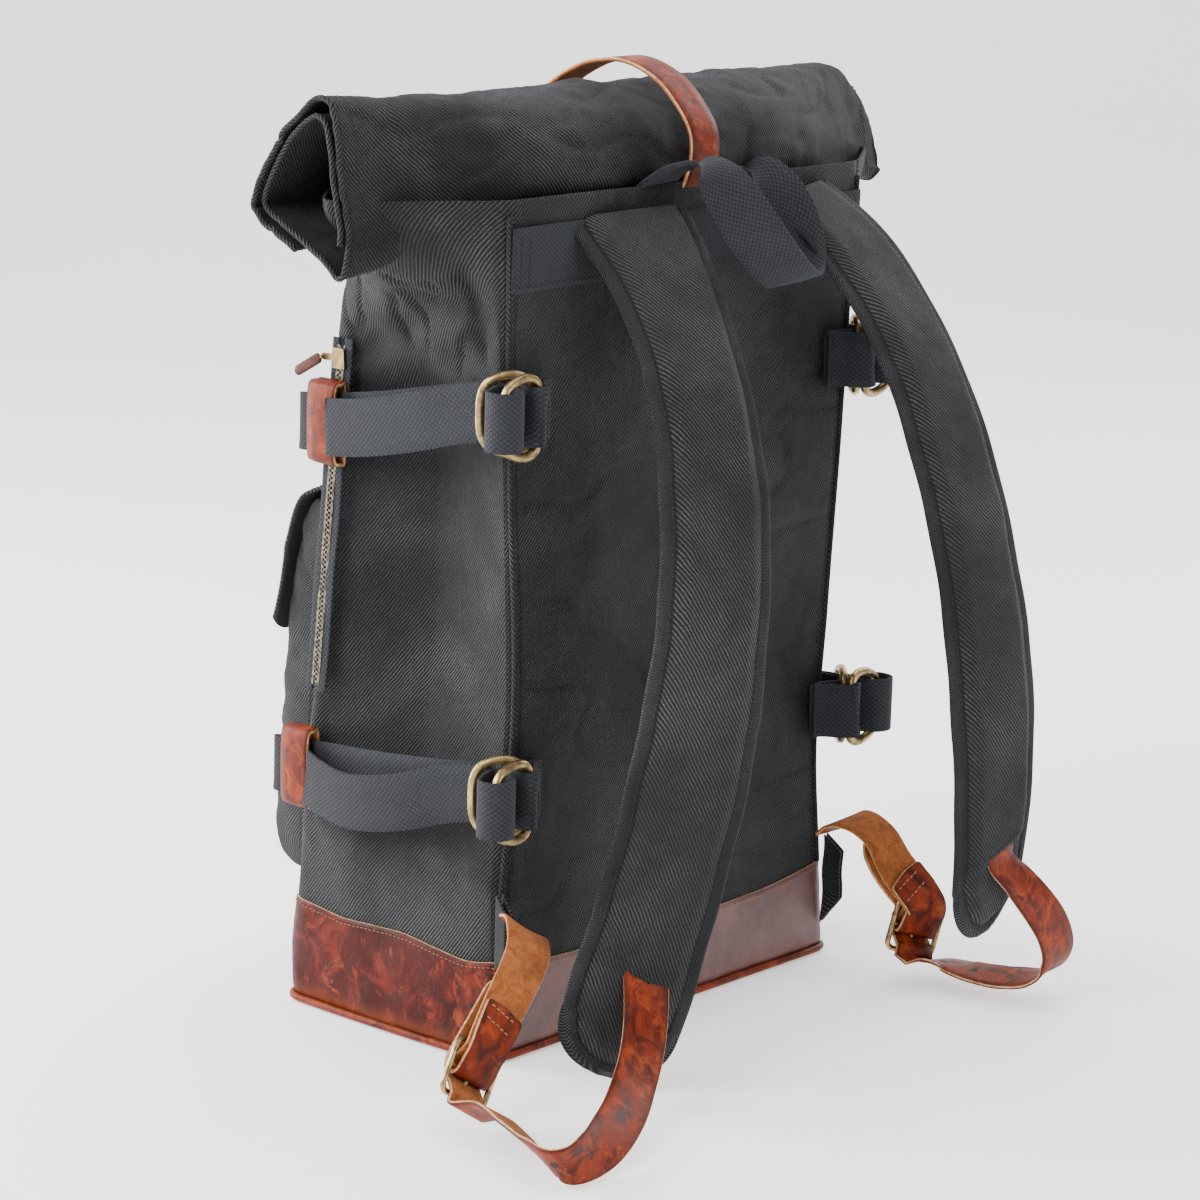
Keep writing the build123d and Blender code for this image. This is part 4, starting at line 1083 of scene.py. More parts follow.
def pad(tag, rows, seam_at, seam_slope, top_half_width):
    """Bound, filled pad. Its overlay panel ends on a slanted seam seam_at mm along."""
    name, body = "strap_pad_" + tag, "strap_" + tag
    rail = make_rail(rows, step=1.9)
    if rail.normal[:, 1].mean() < 0:
        rail.normal = -rail.normal
    s, total = rail.lengths, rail.total
    half_width = PAD_HALF_WIDTH + (top_half_width - PAD_HALF_WIDTH) * (1 - smooth(s, 0, 60))
    tip = np.clip((total - s) / PAD_TIP, 0, 1)
    half_width = half_width * np.clip(1 - (1 - tip) ** 2.6, 0.015, 1) ** .5
    half_width = half_width * (1 + .012 * np.sin(s / 23.0) + .010 * np.sin(s / 9.0 + 1))
    spread = -np.cos(np.linspace(0, np.pi, PAD_COLS))
    face = np.r_[np.ones(PAD_COLS), -np.ones(PAD_COLS - 2)][None]
    count = face.shape[1]
    across = half_width[:, None] * np.r_[spread, spread[::-1][1:-1]][None]
    along = s[:, None]
    edge = half_width[:, None] - np.abs(across)
    from_tip = np.maximum(PAD_TIP - np.hypot(across, np.clip(along - (total - PAD_TIP), 0, None)),
                          0)
    edge = np.where(along > total - PAD_TIP, np.minimum(edge, from_tip), edge)
    # half thickness: flat binding, then the filled pad crowns up
    height = 1.75 * np.clip(edge / 1.3, 0, 1) ** .45
    height = height + (4.1 * smooth(edge, 7.4, 16.5) * (1 - .55 * np.exp(-(along / 42) ** 2))
                       * (1 + .10 * np.sin(along / 19 + 1.5)))
    height = height - .55 * bell(edge, 7.8, .95) + .25 * bell(edge, 4.0, 2.6)
    flat = rail.centre[:, None] + across[..., None] * rail.side[:, None]
    rough = 1.15 * fbm(flat, 36, 31.0) + .45 * fbm(flat, 12, 33.0)
    # soft cross creases on the outer face
    cross = np.sin(along / 6.8) * .28
    inner_edge = smooth(edge, 2, 12)
    height = height + ((rough * .55 + cross * .6 * smooth(edge, 8, 14)) * inner_edge * (face > 0))
    height = height + .35 * rough * inner_edge * (face < 0)
    # the overlay panel raises the outer face above the seam
    line = along - (seam_at + seam_slope * across)
    height = height + (face > 0) * (
        1.9 * (1 - smooth(line, -.8, .7)) * smooth(edge, 6.5, 9)
        - .5 * bell(line, -PANEL_STITCH_GAP, .9) * smooth(edge, 7, 10))
    # slight cup across the width
    cup = -1.6 * (across / PAD_HALF_WIDTH) ** 2 * smooth(along, 20, 90)
    points = flat + (height * face + cup)[..., None] * rail.normal[:, None]
    faces = grid_faces(len(s), count, wrap_cols=True)
    faces.append(tuple(range(count)))
    faces.append(tuple((len(s) - 1) * count + k for k in range(count))[::-1])
    uv = grid_uv(across + (face < 0) * 200, along)
    piece = make(name, points.reshape(-1, 3), faces, [MAT.twill_pad], uv=uv.reshape(-1, 2),
                 edge=edge.reshape(-1))
    fix_normals(piece)
    # stitches just inside the binding on both sides
    middle = PAD_COLS // 2
    for letter, outwards in (("a", range(middle, PAD_COLS)), ("b", range(middle, -1, -1))):
        columns = np.array(outwards)[::-1]
        path, normals = [], []
        for i in range(len(s)):
            if edge[i, :PAD_COLS].max() < PAD_STITCH_INSET:
                continue
            column = np.interp(PAD_STITCH_INSET, edge[i, columns], columns)
            low = int(math.floor(column))
            high = min(low + 1, PAD_COLS - 1)
            part = column - low
            path.append(points[i, low] * (1 - part) + points[i, high] * part)
            normals.append(rail.normal[i])
        stitches(f"{name}_stitch_{letter}", np.array(path) + np.array(normals) * .05, normals,
                 MAT.dark, "fine", body)
    # stitches above the slanted seam
    path, normals = [], []
    for x in np.linspace(-27, 27, 40):
        i = int(np.argmin(np.abs(s - (seam_at + seam_slope * x - PANEL_STITCH_GAP))))
        path.append(points[i, int(np.argmin(np.abs(across[i, :PAD_COLS] - x)))])
        normals.append(rail.normal[i])
    normal = np.array(normals).mean(0)
    stitches(name + "_panel_stitch_0", spline(np.array(path)[::4], 60) + normal * .2, normal,
             MAT.dark, "panel", body)
    attach(piece, "canvas", "shoulder_pad_" + tag, "pad_foam_" + tag, body=body)
    return rail


PAD_RAIL = {"right": pad("right", PAD_RIGHT, 452, .42, 42),
            "left": pad("left", PAD_LEFT, 430, -.35, 33)}


# ================================================================ leather straps and buckles
def buckle_frame(origin, width, along, facing):
    """A buckle's axes. facing: sign of y its normal points to."""
    width, along = unit(width), np.array(along, float)
    along = unit(along - (along @ width) * width)
    normal = np.cross(width, along)
    return SimpleNamespace(origin=np.array(origin, float), width=width, along=along,
                           normal=normal * np.sign(normal[1] * facing))


BUCKLE = {
    "right": buckle_frame((238, 143, 30), (-.80, .19, -.56), (.60, .12, -.80), 1),
    "left": buckle_frame((-156, 155, 30), (-.84, .40, -.30), (-.26, .20, -.94), 1),
}


def at_buckle(buckle, along, out, across=0.0):
    return (buckle.origin + along * buckle.along + out * buckle.normal + across * buckle.width)


def buckle_rows(buckle, points):
    """Strap rows from (along, out) points in a buckle's frame."""
    return [(*at_buckle(buckle, along, out), *buckle.width) for along, out in points]


def beside(rail, back, lift, across=0.0):
    """Point back mm before a rail's end and lifted off it, with the rail's side and normal."""
    k = int(np.argmin(np.abs(rail.lengths - (rail.total - back))))
    side, normal = rail.side[k], rail.normal[k]
    return rail.centre[k] + normal * lift + side * across, side, normal


def beside_rows(rail, places):
    return [tuple(np.concatenate(beside(rail, back, lift)[:2])) for back, lift in places]


def on_pad(rail, s, lift, across):
    i = int(np.argmin(np.abs(rail.lengths - s)))
    return (*(rail.centre[i] + rail.normal[i] * lift + rail.side[i] * across), *rail.side[i])


def aligned(rows):
    """Unit width directions, none turned against the one before."""
    rows = np.array(rows, float)
    rows[:, 3:6] = unit(rows[:, 3:6])
    for i in range(1, len(rows)):
        if rows[i, 3:6] @ rows[i - 1, 3:6] < 0:
            rows[i, 3:6] *= -1
    return rows


def punch(name, rail, distances, face, around=20):
    """Punched holes drawn as discs of painted shade on a strap's face, at distances back from its
    end.
    """
    holes = []
    for k, back in enumerate(distances):
        i = int(np.argmin(np.abs(rail.lengths - (rail.total - back))))
        normal = rail.normal[i] * face
        centre = rail.centre[i] + normal * (rail.thick / 2)
        verts = []
        for radius, rise in ((2.4, .03), (2.0, .12), (1.65, .03), (1.55, 0)):
            for angle in np.linspace(0, 2 * np.pi, around, endpoint=False):
                out = np.cos(angle) * rail.side[i] + np.sin(angle) * rail.tangent[i]
                verts.append(centre + out * radius + normal * rise)
        verts.append(centre)
        faces = [(r + a, r + (a + 1) % around, r + around + (a + 1) % around, r + around + a)
                 for r in (0, around, 2 * around) for a in range(around)]
        faces += [(3 * around + a, 3 * around + (a + 1) % around, 4 * around)
                  for a in range(around)]
        holes.append(make(f"{name}_hole_{k}", verts, faces, [MAT.hole]))
    return holes


# Anchor strap round the buckle's bar: along, out
WRAP = [(-16, 4.2), (-9, 1.2), (-4, -2.4), (0, -3.9), (2.8, -2.6), (3.9, 0), (2.8, 2.7), (0, 4.1),
        (-6, 5.7), (-14, 7.4)]
# Its folded-back end beside the strap: distance back, lift
FOLD = ((9, 3.3), (18, 3.42), (27, 3.54))
# Anchor strap from the bag, and adjuster from the pad: x, y, z, width direction x, y, z
ROOT = {
    "right": [(161, 105, 89, -.46, .74, -.49), (164, 114, 90.5, -.47, .73, -.50),
              (169, 122, 87.5, -.5, .70, -.51), (177, 128.5, 81.5, -.58, .62, -.53),
              (188, 133, 73.5, -.64, .52, -.55), (207, 138, 58.5, -.73, .36, -.56)],
    "left": [(-144, 97, 84, -.87, .28, .1), (-140, 106, 92, -.89, .2, .14),
             (-137.8, 116.5, 96, -.9, .13, .19), (-138.3, 127.5, 94.5, -.91, .14, .14),
             (-140.8, 138, 86.5, -.9, .22, 0), (-144.8, 147.8, 69.5, -.88, .33, -.16)],
}
ADJUSTER = {
    "right": [(135.9, 182.4, 68.0, -.762, .57, -.30), (141, 187.2, 56, -.775, .545, -.315),
              (148.5, 193, 46, -.80, .49, -.33), (160, 200.8, 36.5, -.84, .40, -.35),
              (178, 211.5, 27, -.88, .29, -.369), (203, 226, 20.5, -.91, .221, -.351),
              (231, 239.5, 16.8, -.848, .20, -.45), (250.6, 246.0, 15.2, -.72, .12, -.68),
              (266, 247.5, 14.6, -.62, .02, -.78), (275, 244, 14.4, -.58, -.12, -.80),
              (277, 236, 14.6, -.64, -.25, -.72), (270, 219, 15.2, -.78, -.25, -.55),
              (260, 196, 17.2, -.84, -.10, -.50), (252.5, 172, 19.5, -.82, .06, -.53)],
    "left": [(-128, 238.5, 96, -.98, -.06, .06), (-136, 245.5, 84, -.97, .02, .12),
             (-148, 251, 69, -.95, .08, .18), (-160, 253.5, 54, -.94, .11, .21),
             (-169, 253, 40, -.94, .12, .22), (-174, 250, 29, -.94, .12, .22),
             (-174, 244.5, 20, -.94, .12, .22), (-169, 236, 14.4, -.94, .13, .22),
             (-162, 223, 12.0, -.94, .16, .20), (-157.5, 208, 11.8, -.93, .22, .14),
             (-156.5, 194, 12, -.91, .28, .06), (-157, 180, 12, -.88, .34, -.10)],
}
# Start of the adjuster on the pad: distance along, lift, offset across
PAD_EXIT = {"right": ((441, -2.6, 3.6), (447.5, 3.6, 4.0)), "left": ((417, -2.6, 0), (424, 4, 0))}
# Adjuster through the buckle: along, out. The tail takes over at the fourth point.
CROSS = {"right": [(22, 7.0), (15.5, 4.8), (10, 0.6), (5, -4.4), (0, -7.4), (-6, -8.6)],
         "left": [(18, 9.5), (13, 6.5), (9, 1.5), (5, -4.4), (0, -7.4), (-6, -8.6)]}
# Tail lying under the anchor strap: distance back along it, lift
TAIL_REST = {"right": ((6, -9.5), (20, -8.0), (34, -6.5), (47, -5.6)),
             "left": ((6, -9.0), (20, -8.0), (34, -8.0), (48, -8.0), (60, -7.0))}
HOLES = {"right": (92, 116, 140), "left": (38, 62, 86, 112)}


def anchor_strap(side):
    """Strap from the bag round the buckle's bar; returns the rail of its straight run."""
    buckle = BUCKLE[side]
    run = make_rail(aligned(ROOT[side] + buckle_rows(buckle, WRAP[:1])), step=1.0)
    run.normal *= np.sign(run.normal[-1] @ buckle.normal)
    rows = aligned(ROOT[side] + buckle_rows(buckle, WRAP) + beside_rows(run, FOLD))
    strap, rail = ribbon("anchor_leather_" + side, rows, 27, 2.3, SUEDE_OUT, step=1.5,
                         round_end=3)
    k = int(np.argmin(np.linalg.norm(rail.centre - ROOT[side][-1][:3], axis=1)))
    # the left strap gets the darker copy of the grain as painted shade
    if rail.normal[k] @ run.normal[-20] < 0:
        set_faces(strap, MAT.grain_dark if side == "left" else MAT.grain, MAT.suede)
    attach(strap, "strap_leather", "anchor_strap_" + side)
    # two rows of stitches on the folded-back end
    for k, back in ((1, 13), (2, 22)):
        points = [beside(run, back, 4.85, x)[0] for x in np.linspace(-10.5, 10.5, 20)]
        stitches(f"anchor_stitch_{side}_{k}", points, beside(run, back, 0)[2], MAT.tan, "anchor")
    return run


def adjuster_strap(side, anchor):
    """Strap from the pad to the buckle, and the tail lying against the anchor strap."""
    pad_rail, buckle = PAD_RAIL[side], BUCKLE[side]
    start = [on_pad(pad_rail, *place) for place in PAD_EXIT[side]]
    rows = aligned(start + ADJUSTER[side] + buckle_rows(buckle, CROSS[side][:4]))
    strap, rail = ribbon("adjuster_leather_" + side, rows, 27, 2.3, GRAIN_OUT, step=2.0)
    rows = aligned(buckle_rows(buckle, CROSS[side][3:]) + beside_rows(anchor, TAIL_REST[side]))
    tail, tail_rail = ribbon("adjuster_tail_" + side, rows, 27, 2.3, GRAIN_OUT, step=1.8,
                             round_end=13)
    attach(tail, "strap_leather")
    # keep the grain on the pad's outer side, and the tail matching
    outer = -1 if rail.normal[6] @ pad_rail.normal[-40] < 0 else 1
    if outer < 0:
        set_faces(strap, MAT.suede, MAT.grain)
    if (tail_rail.normal[0] @ rail.normal[-1] < 0) != (outer < 0):
        set_faces(tail, MAT.suede, MAT.grain)
    if side == "left":
        set_faces(strap, MAT.grain, MAT.grain)
    holes = punch("adjuster_" + side, rail, HOLES[side], outer)
    if side == "left":
        holes += punch("adjuster_inner_" + side, rail, HOLES[side], -outer)
    for piece in [strap] + holes:
        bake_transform(piece)
    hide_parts("adjuster_strap_" + side)


# Corner tab: root x, then (at root, change to tip) of lower z, upper z, x and y
TAB = {"right": (154.0, (58, 13), (104, -9), (2, 7.0), (1.5, 14.0)),
       "left": (-147.5, (20, 17), (78, -10), (-1.5, -2.5), (1.5, 11.5))}


def corner_tab(side):
    """Two layers of cloth standing out from the lower back corner."""
    root_x, *spans = TAB[side]
    columns = []
    for t in np.linspace(0, 1, 7):
        low, high, x, y = (start + change * t for start, change in spans)
        columns.append([(root_x + x + SIDES[side] * .3 * math.sin(z / 5),
                         85.5 + y + .3 * math.sin(z / 5), z) for z in np.linspace(low, high, 22)])
    points = np.array(columns)
    normals = grid_normals(points)
    uv = grid_uv(np.linspace(0, 14, 7)[:, None], np.linspace(0, 45, 22)[None])
    for layer, lift, replaced in ((1, 2.2, ["corner_tab_" + side]), (2, -1.6, [])):
        tab = shell(f"corner_tab_cloth_{side}_{layer}", points + normals * lift, normals, 1.5,
                    CLOTH, uv)
        attach(tab, "canvas", *replaced)


for side_name in SIDES:
    adjuster_strap(side_name, anchor_strap(side_name))
    corner_tab(side_name)

# ================================================================ side webbing, rings, keepers
# Height at the rings, height at the front, and how slack the outer layer hangs
STATIONS = {"upper": (384.0, 358.0, .25), "lower": (162.0, 148.0, 1.0)}
RING_CENTRE = (150.0, 99.0)           # x, y of the ring loop's bend
LOOP_RADII = (5.0, 8.2)               # of that bend, in x and y


def side_strap(tag, sign, ring_z, slope, front_y, slack):
    """Back from the front edge, through both rings, and forward again as the outer layer."""
    # x, y, z offset, sideways tilt of the width
    course = [
        (155.5, front_y + 1, -1, .10), (158.2, front_y + 9, -.5, .05),
        (159.6, front_y + 30, 0, 0), (161.5, -4, 0, 0), (161.2, 40, 0, 0), (159.0, 66, 0, 0),
        (157.9, 80, 0, 0), (158.2, 88, 0, 0), (161, 96, 0, 0), (165, 103.5, 0, 0),
        (170, 109.2, 0, 0), (177, 111, 0, 0), (183.2, 108, 0, 0), (185.6, 101.5, 0, 0),
        (184.2, 95.2, 0, 0), (178.4, 91.0, 0, 0), (170, 87.6, 0, 0), (162.2, 83.4, 0, 0),
        (162.2, 74, 0, 0), (164.5 + slack, 52, -2 * slack, 0),
        (167 + 6 * slack, 20, -9 * slack, .04), (167 + 8 * slack, -15, -12 * slack, .05),
        (165.5 + 5 * slack, -45, -8 * slack, 0), (163.6, front_y + 14, -3 * slack, -.05),
        (161.6, front_y + 6, -2 * slack, -.05)]
    rows = []
    for x, y, offset, tilt in course:
        z = ring_z
        if y <= 70:
            z += slope * (20 * max(0, y / 70) - (90 - y))
        rows.append((sign * x, y, z + offset, sign * tilt, 0, 1))
    strap, _ = ribbon("side_webbing_" + tag, rows, 34, 1.9, WEB, step=2.6)
    attach(strap, "webbing", "side_strap_" + tag)


def ring_loop(tag, sign, ring_z):
    """Loop that holds the rings, sewn flat to the back."""
    path = [(127, 88.2), (133, 88.0), (140, 88.6)]
    for angle in np.radians(np.linspace(-122, 122, 15)):
        path.append((RING_CENTRE[0] + LOOP_RADII[0] * math.cos(angle),
                     RING_CENTRE[1] + LOOP_RADII[1] * math.sin(angle)))
    path += [(142, 101.0), (136.5, 94.5), (131.5, 91.3), (127, 90.4)]
    rows = [(sign * x, y, ring_z + .4 * math.sin(i), 0, 0, 1) for i, (x, y) in enumerate(path)]
    loop, _ = ribbon("ring_loop_cloth_" + tag, rows, 34, 1.8, WEB, step=1.6)
    attach(loop, "webbing", "ring_loop_" + tag)
    points = [[sign * 130, 92.3, ring_z + z] for z in np.linspace(-15, 15, 20)]
    stitches("ring_loop_stitch_" + tag, points, (0, 1, 0), MAT.dark, "fine")


def keeper(tag, sign, centre_y, centre_z):
    """Leather keeper round the front end of the strap."""
    # outline: x, z from the centre
    ring = smooth_closed([(157.0, 20.6), (157.0, -20.6), (160, -22.6), (164.5, -20.8),
                          (165.4, 0), (164.5, 20.8), (160, 22.6)], 56)
    across = np.linspace(-12, 12, 9)
    points = np.zeros((9, 56, 3))
    for i, y in enumerate(across):
        # the outer face draws in towards the front
        points[i, :, 0] = sign * (ring[:, 0] - .0175 * min(y, 0) ** 2 * (ring[:, 0] > 158))
        points[i, :, 1] = centre_y + y
        points[i, :, 2] = centre_z + ring[:, 1]
    normals = grid_normals(points, wrap_cols=True)
    normals = outward(points, normals, points.mean((0, 1)))
    uv = grid_uv(across[:, None], np.linspace(0, 100, 56)[None])
    edge = np.broadcast_to((12 - np.abs(across))[:, None], (9, 56))
    piece = shell("keeper_leather_" + tag, points + normals * 1.3, normals, 1.9, GRAIN_OUT, uv,
                  wrap_cols=True, edge=edge)
    attach(piece, "strap_leather", "strap_keeper_" + tag)


def webbing_nose(tag, sign, front_y, z):
    """Webbing doubled over in front of the keeper."""
    rows = [(sign * x, front_y + y, z + drop, 0, 0, 1) for x, y, drop in (
        (156.5, 12, 0), (161, 2, -.5), (161.5, -8, -1.5), (158.5, -13, -2), (155.8, -9, -2),
        (154.6, 1, -1))]
    nose, _ = ribbon("webbing_nose_" + tag, rows, 34, 1.9, WEB_DARK, step=1.5)
    attach(nose, "webbing")


for side_name, sign in SIDES.items():
    for level, (ring_z, front_z, slack) in STATIONS.items():
        tag = level + "_" + side_name
        front_y = lean_y(front_z) - 4
        slope = (ring_z - front_z) / (90 - front_y)
        keeper_z = ring_z - slope * (90 - (front_y + 10))
        side_strap(tag, sign, ring_z, slope, front_y, slack)
        ring_loop(tag, sign, ring_z)
        keeper(tag, sign, front_y + 9, keeper_z)
        webbing_nose(tag, sign, front_y, keeper_z)

# ================================================================ closure strap
CLOSURE = buckle_frame((0, -62.5, 418), (1, 0, 0), (0, LEAN, 1), -1)
# Strap over the roll from the back: y, z
OVER = [(87.0, 500), (90.3, 508), (92.6, 519), (91.2, 531.5), (83.5, 543.5), (69, 557.5),
        (53, 565.5), (38, 569), (25, 568.5), (10, 565.5), (-5, 559), (-20, 549.5), (-36, 534),
        (-46.5, 514), (-49.5, 496), (-54, 470), (-59, 449)]
# Strap through the buckle, and the chape holding the buckle: along, out
TAIL = [(20, -3.8), (15.5, -3.8), (10, 0), (5, 4.0), (0, 6.6), (-8, 7.2), (-16, 5.8), (-30, 2.2),
        (-46, -0.8), (-58, -1.8)]
CHAPE = [(-74, -7.9), (-50, -7.9), (-24, -7.8), (-14, -7.2), (-6, -5.4), (0, -3.9), (2.8, -2.4),
         (3.9, 0), (2.8, 2.7), (0, 3.9), (-4, 2.6), (-9, -1.0), (-14, -3.7), (-22, -4.9),
         (-42, -5.2)]


def closure_strap():
    over = [(.6 * math.sin(y / 30), y, z, 1, 0, 0) for y, z in OVER]
    strap, rail = ribbon("closure_leather", aligned(over + buckle_rows(CLOSURE, TAIL)), 25, 2.5,
                         GRAIN_OUT, step=2.0, round_end=13)
    outer = 1
    if rail.normal[len(rail.normal) // 3] @ np.array([0, .3, 1]) < 0:
        set_faces(strap, MAT.suede, MAT.grain)
        outer = -1
    attach(strap, "strap_leather", "closure_strap")
    for hole in punch("closure", rail, (95, 120, 145), outer):
        attach(hole, "strap_leather")


def closure_chape():
    chape, rail = ribbon("chape_leather", aligned(buckle_rows(CLOSURE, CHAPE)), 26, 2.3,
                         SUEDE_OUT, step=1.7)
    if rail.normal[6] @ CLOSURE.normal > 0:
        set_faces(chape, MAT.grain, MAT.suede)
    attach(chape, "strap_leather", "closure_chape")
    for k, along in ((1, -52), (2, -66)):
        points = [at_buckle(CLOSURE, along, -6.6, x) for x in np.linspace(-10.5, 10.5, 20)]
        stitches(f"chape_stitch_{k}", points, CLOSURE.normal, MAT.tan, "chape")


closure_strap()
closure_chape()

# ================================================================ grab handle
# x, y, z, width direction x, y, z
HANDLE = [
    (34, 85.5, 503, -1, 0, .02), (35.5, 91, 507, -1, -.03, .02),
    (35.5, 99.5, 512.5, -.98, -.1, -.02), (33.5, 107, 515.5, -.95, -.15, -.12),
    (27, 115, 515.5, -.93, .1, -.1), (21, 124, 506, -.90, .35, .0),
    (13, 131, 491, -.83, .50, .1), (3.5, 135.5, 477, -.74, .62, .16),
    (-9, 137.5, 463.5, -.68, .69, .2), (-23, 136.5, 453, -.62, .74, .22),
    (-38, 132, 446.5, -.56, .77, .27), (-51, 125, 447.5, -.54, .76, .34),
    (-59, 118.5, 456, -.58, .70, .4), (-62, 113.5, 468, -.66, .64, .38),
    (-61, 108.5, 481, -.78, .52, .33), (-56, 103, 493, -.88, .38, .26),
    (-50, 96.5, 501.5, -.94, .25, .2), (-44, 90.5, 503.5, -.97, .1, .15),
    (-39, 87.0, 500, -.98, 0, .12)]
handle, _ = ribbon("handle_webbing", aligned(HANDLE), 33, 2.3, WEB, step=2.0, across=11, crown=.6)
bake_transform(handle)
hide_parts("grab_handle")

# ================================================================ front pocket and flap
# Profiles from the wall at the top, out and down the face: y, z
POCKET = [(-66.5, 302), (-78, 303), (-97, 302.5), (-109, 299), (-114.5, 290), (-120, 266),
          (-126.5, 235), (-130.5, 205), (-133.5, 170), (-136, 135), (-137.5, 105), (-135.5, 84),
          (-127, 72.5), (-108, 69), (-88.5, 68.5)]
FLAP = [(-63.0, 317.5), (-72, 316.6), (-88, 313.2), (-104, 308.5), (-115, 301), (-121, 288),
        (-127, 264), (-132.5, 238), (-136.8, 214.5)]
FLAP_HALF_WIDTH = 120.5


def pocket():
    """Closed, soft pocket with rounded side walls."""
    rows, cols = 90, 84
    even = np.linspace(-1, 1, cols)
    t = np.sin(even * np.pi / 2 * .999)
    t = t / t[-1]
    rounding = np.clip(1 - np.abs(t) ** 40, 0, 1) ** .5
    points = np.zeros((rows, cols, 3))
    for i, (y, z) in enumerate(profile_curve(POCKET, rows)):
        wall_y = lean_y(z) - 1.2
        depth = wall_y - (y - 3.5 * float(smooth(z, 300, 280)))
        points[i, :, 0] = t * (121.5 - np.sin(np.pi * (z - 70) / 230))
        points[i, :, 1] = wall_y - depth * rounding - 1.2 * (1 - t ** 2) * smooth(depth, 5, 30)
        points[i, :, 2] = z
    normals = grid_normals(points)
    normals *= -np.sign(normals[45, 42, 1])
    dent = (1.6 * fbm(points, 44, 51.0) + .7 * fbm(points, 16, 52.0)
            - 1.5 * creases(points, 46, 55.0, (1, 1, .6)))
    dent = dent * smooth(np.abs(even), 1.0, .86)
    points = points + normals * dent[..., None]
    u = np.array([arc_lengths(row) for row in points])
    cloth = shell("pocket_cloth", points, normals, 1.7, [MAT.twill, MAT.lining, MAT.twill],
                  grid_uv(u, np.linspace(0, 330, rows)[:, None]))
    attach(cloth, "canvas", "front_pocket")
    for k, column in enumerate((80, 3)):
        stitches(f"pocket_stitch_{k}", points[6:84, column], normals[6:84, column], MAT.dark,
                 "hem")


def flap():
    rows, cols = 60, 90
    t = np.linspace(-1, 1, cols)
    corner = np.clip((np.abs(t) - .90) / .10, 0, 1)
    points = np.zeros((rows, cols, 3))
    for i, (y, z) in enumerate(profile_curve(FLAP, rows)):
        points[i, :, 0] = t * FLAP_HALF_WIDTH
        points[i, :, 1] = y - 1.5 * (1 - t ** 2) * smooth(i, 5, 40)
        points[i, :, 2] = z - 2.2 * smooth(np.abs(t), .88, 1.0) * smooth(i, 0, 14)
        if i > 44:
            # rounded lower corners
            points[i, :, 2] += 9.5 * corner ** 2 * ((i - 44) / 15) ** 2
    normals = grid_normals(points)
    normals *= -np.sign(normals[45, 45, 1])
    points = points + normals * (.8 * fbm(points, 40, 61.0) + .4 * fbm(points, 14, 62.0))[..., None]
    cloth = shell("flap_cloth", points + normals * .9, normals, 2.2,
                  [MAT.twill_mirrored, MAT.lining, MAT.twill_mirrored],
                  grid_uv(points[..., 0], np.linspace(0, 135, rows)[:, None]))
    attach(cloth, "canvas", "pocket_flap", body="flap")
    # down the left edge, along the bottom and up the right edge
    path, path_normals = (np.vstack([grid[4:57, 2], grid[57, 2:88], grid[56:4:-1, 87]])
                          for grid in (points, normals))
    stitches("flap_stitch", path + path_normals, path_normals, MAT.dark, "flap", "flap")
    seam = np.c_[np.linspace(-117, 117, 60), np.full(60, -62.6), np.full(60, 317.6)]
    attach(tube("flap_seam", seam, 1.7, MAT.twill), "canvas")


pocket()
flap()

# ================================================================ zip on the right side
PULL_Z = 398.0


def zip_tape(index, near, far, *replaced):
    """Tape between two distances behind the leaning front edge."""
    z = np.linspace(196, 410, 90)[:, None]
    across = np.linspace(near, far, 6)[None]
    x = 156.5 + .35 * np.sin(z / 13) + .2 * np.sin(np.linspace(0, np.pi, 6))[None]
    points = np.stack(np.broadcast_arrays(x, lean_y(z) + across, z), -1)
    normals = np.zeros_like(points)
    normals[..., 0] = 1
    tape = shell(f"zip_tape_{index}", points, normals, .9, [MAT.web_dark], grid_uv(across, z))
    attach(tape, "webbing", *replaced)


def zip_pull():
    y = lean_y(PULL_Z)
    rows = aligned([(161.0, y - 3.0, PULL_Z, 0, .51, -.86),
                    (161.2, y - 8, PULL_Z - 3.0, 0, .51, -.86),
                    (160.9, y - 18, PULL_Z - 8.6, .1, .51, -.86),
                    (160.5, y - 24, PULL_Z - 11.8, .15, .49, -.86)])
    pull, _ = ribbon("zip_pull_leather", rows, 6.2, 1.7, [MAT.grain_dark] * 3, step=1.0,
                     across=7, round_end=3, round_start=3)
    attach(pull, "strap_leather", "zipper_pull", body="zip_pull")


zip_tape(0, 1.5, 7.0, "zipper_tape")
zip_tape(1, 11.2, 17.5)
zip_pull()

# ================================================================ CAD metalwork keeps its shape
for name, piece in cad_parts.items():
    if name.startswith(("d_rings", "buckle", "closure_buckle", "zipper_slider")):
        piece.data.materials.clear()
        piece.data.materials.append(MAT.brass)
        piece.data.polygons.foreach_set("use_smooth",
                                        np.ones(len(piece.data.polygons), dtype=bool))
    elif name == "zipper_teeth":
        piece.data.materials.clear()
        piece.data.materials.append(MAT.zip_metal)

# ================================================================ studio (metres)
STUDIO_TURN = math.radians(130.86)
TO_CAMERA = np.array([math.sin(STUDIO_TURN), -math.cos(STUDIO_TURN)])
TO_RIGHT = np.array([math.cos(STUDIO_TURN), math.sin(STUDIO_TURN)])
# Floor and backdrop: distance towards the camera, height
SWEEP = [(6, 0), (2, 0), (0, 0), (-1.6, 0), (-2.4, .06), (-3.0, .35), (-3.35, .9), (-3.5, 2.0),
         (-3.55, 5.0)]
FLOOR_DROP = .0004


def studio_sweep():
    verts = []
    for across in np.linspace(-6, 6, 13):
        for distance, z in profile_curve(SWEEP, 60):
            x, y = TO_CAMERA * distance + TO_RIGHT * across
            verts.append((x * 1000, y * 1000, (z - FLOOR_DROP) * 1000))
    make("studio_sweep", verts, grid_faces(13, 60), [floor_paint("studio_floor")])


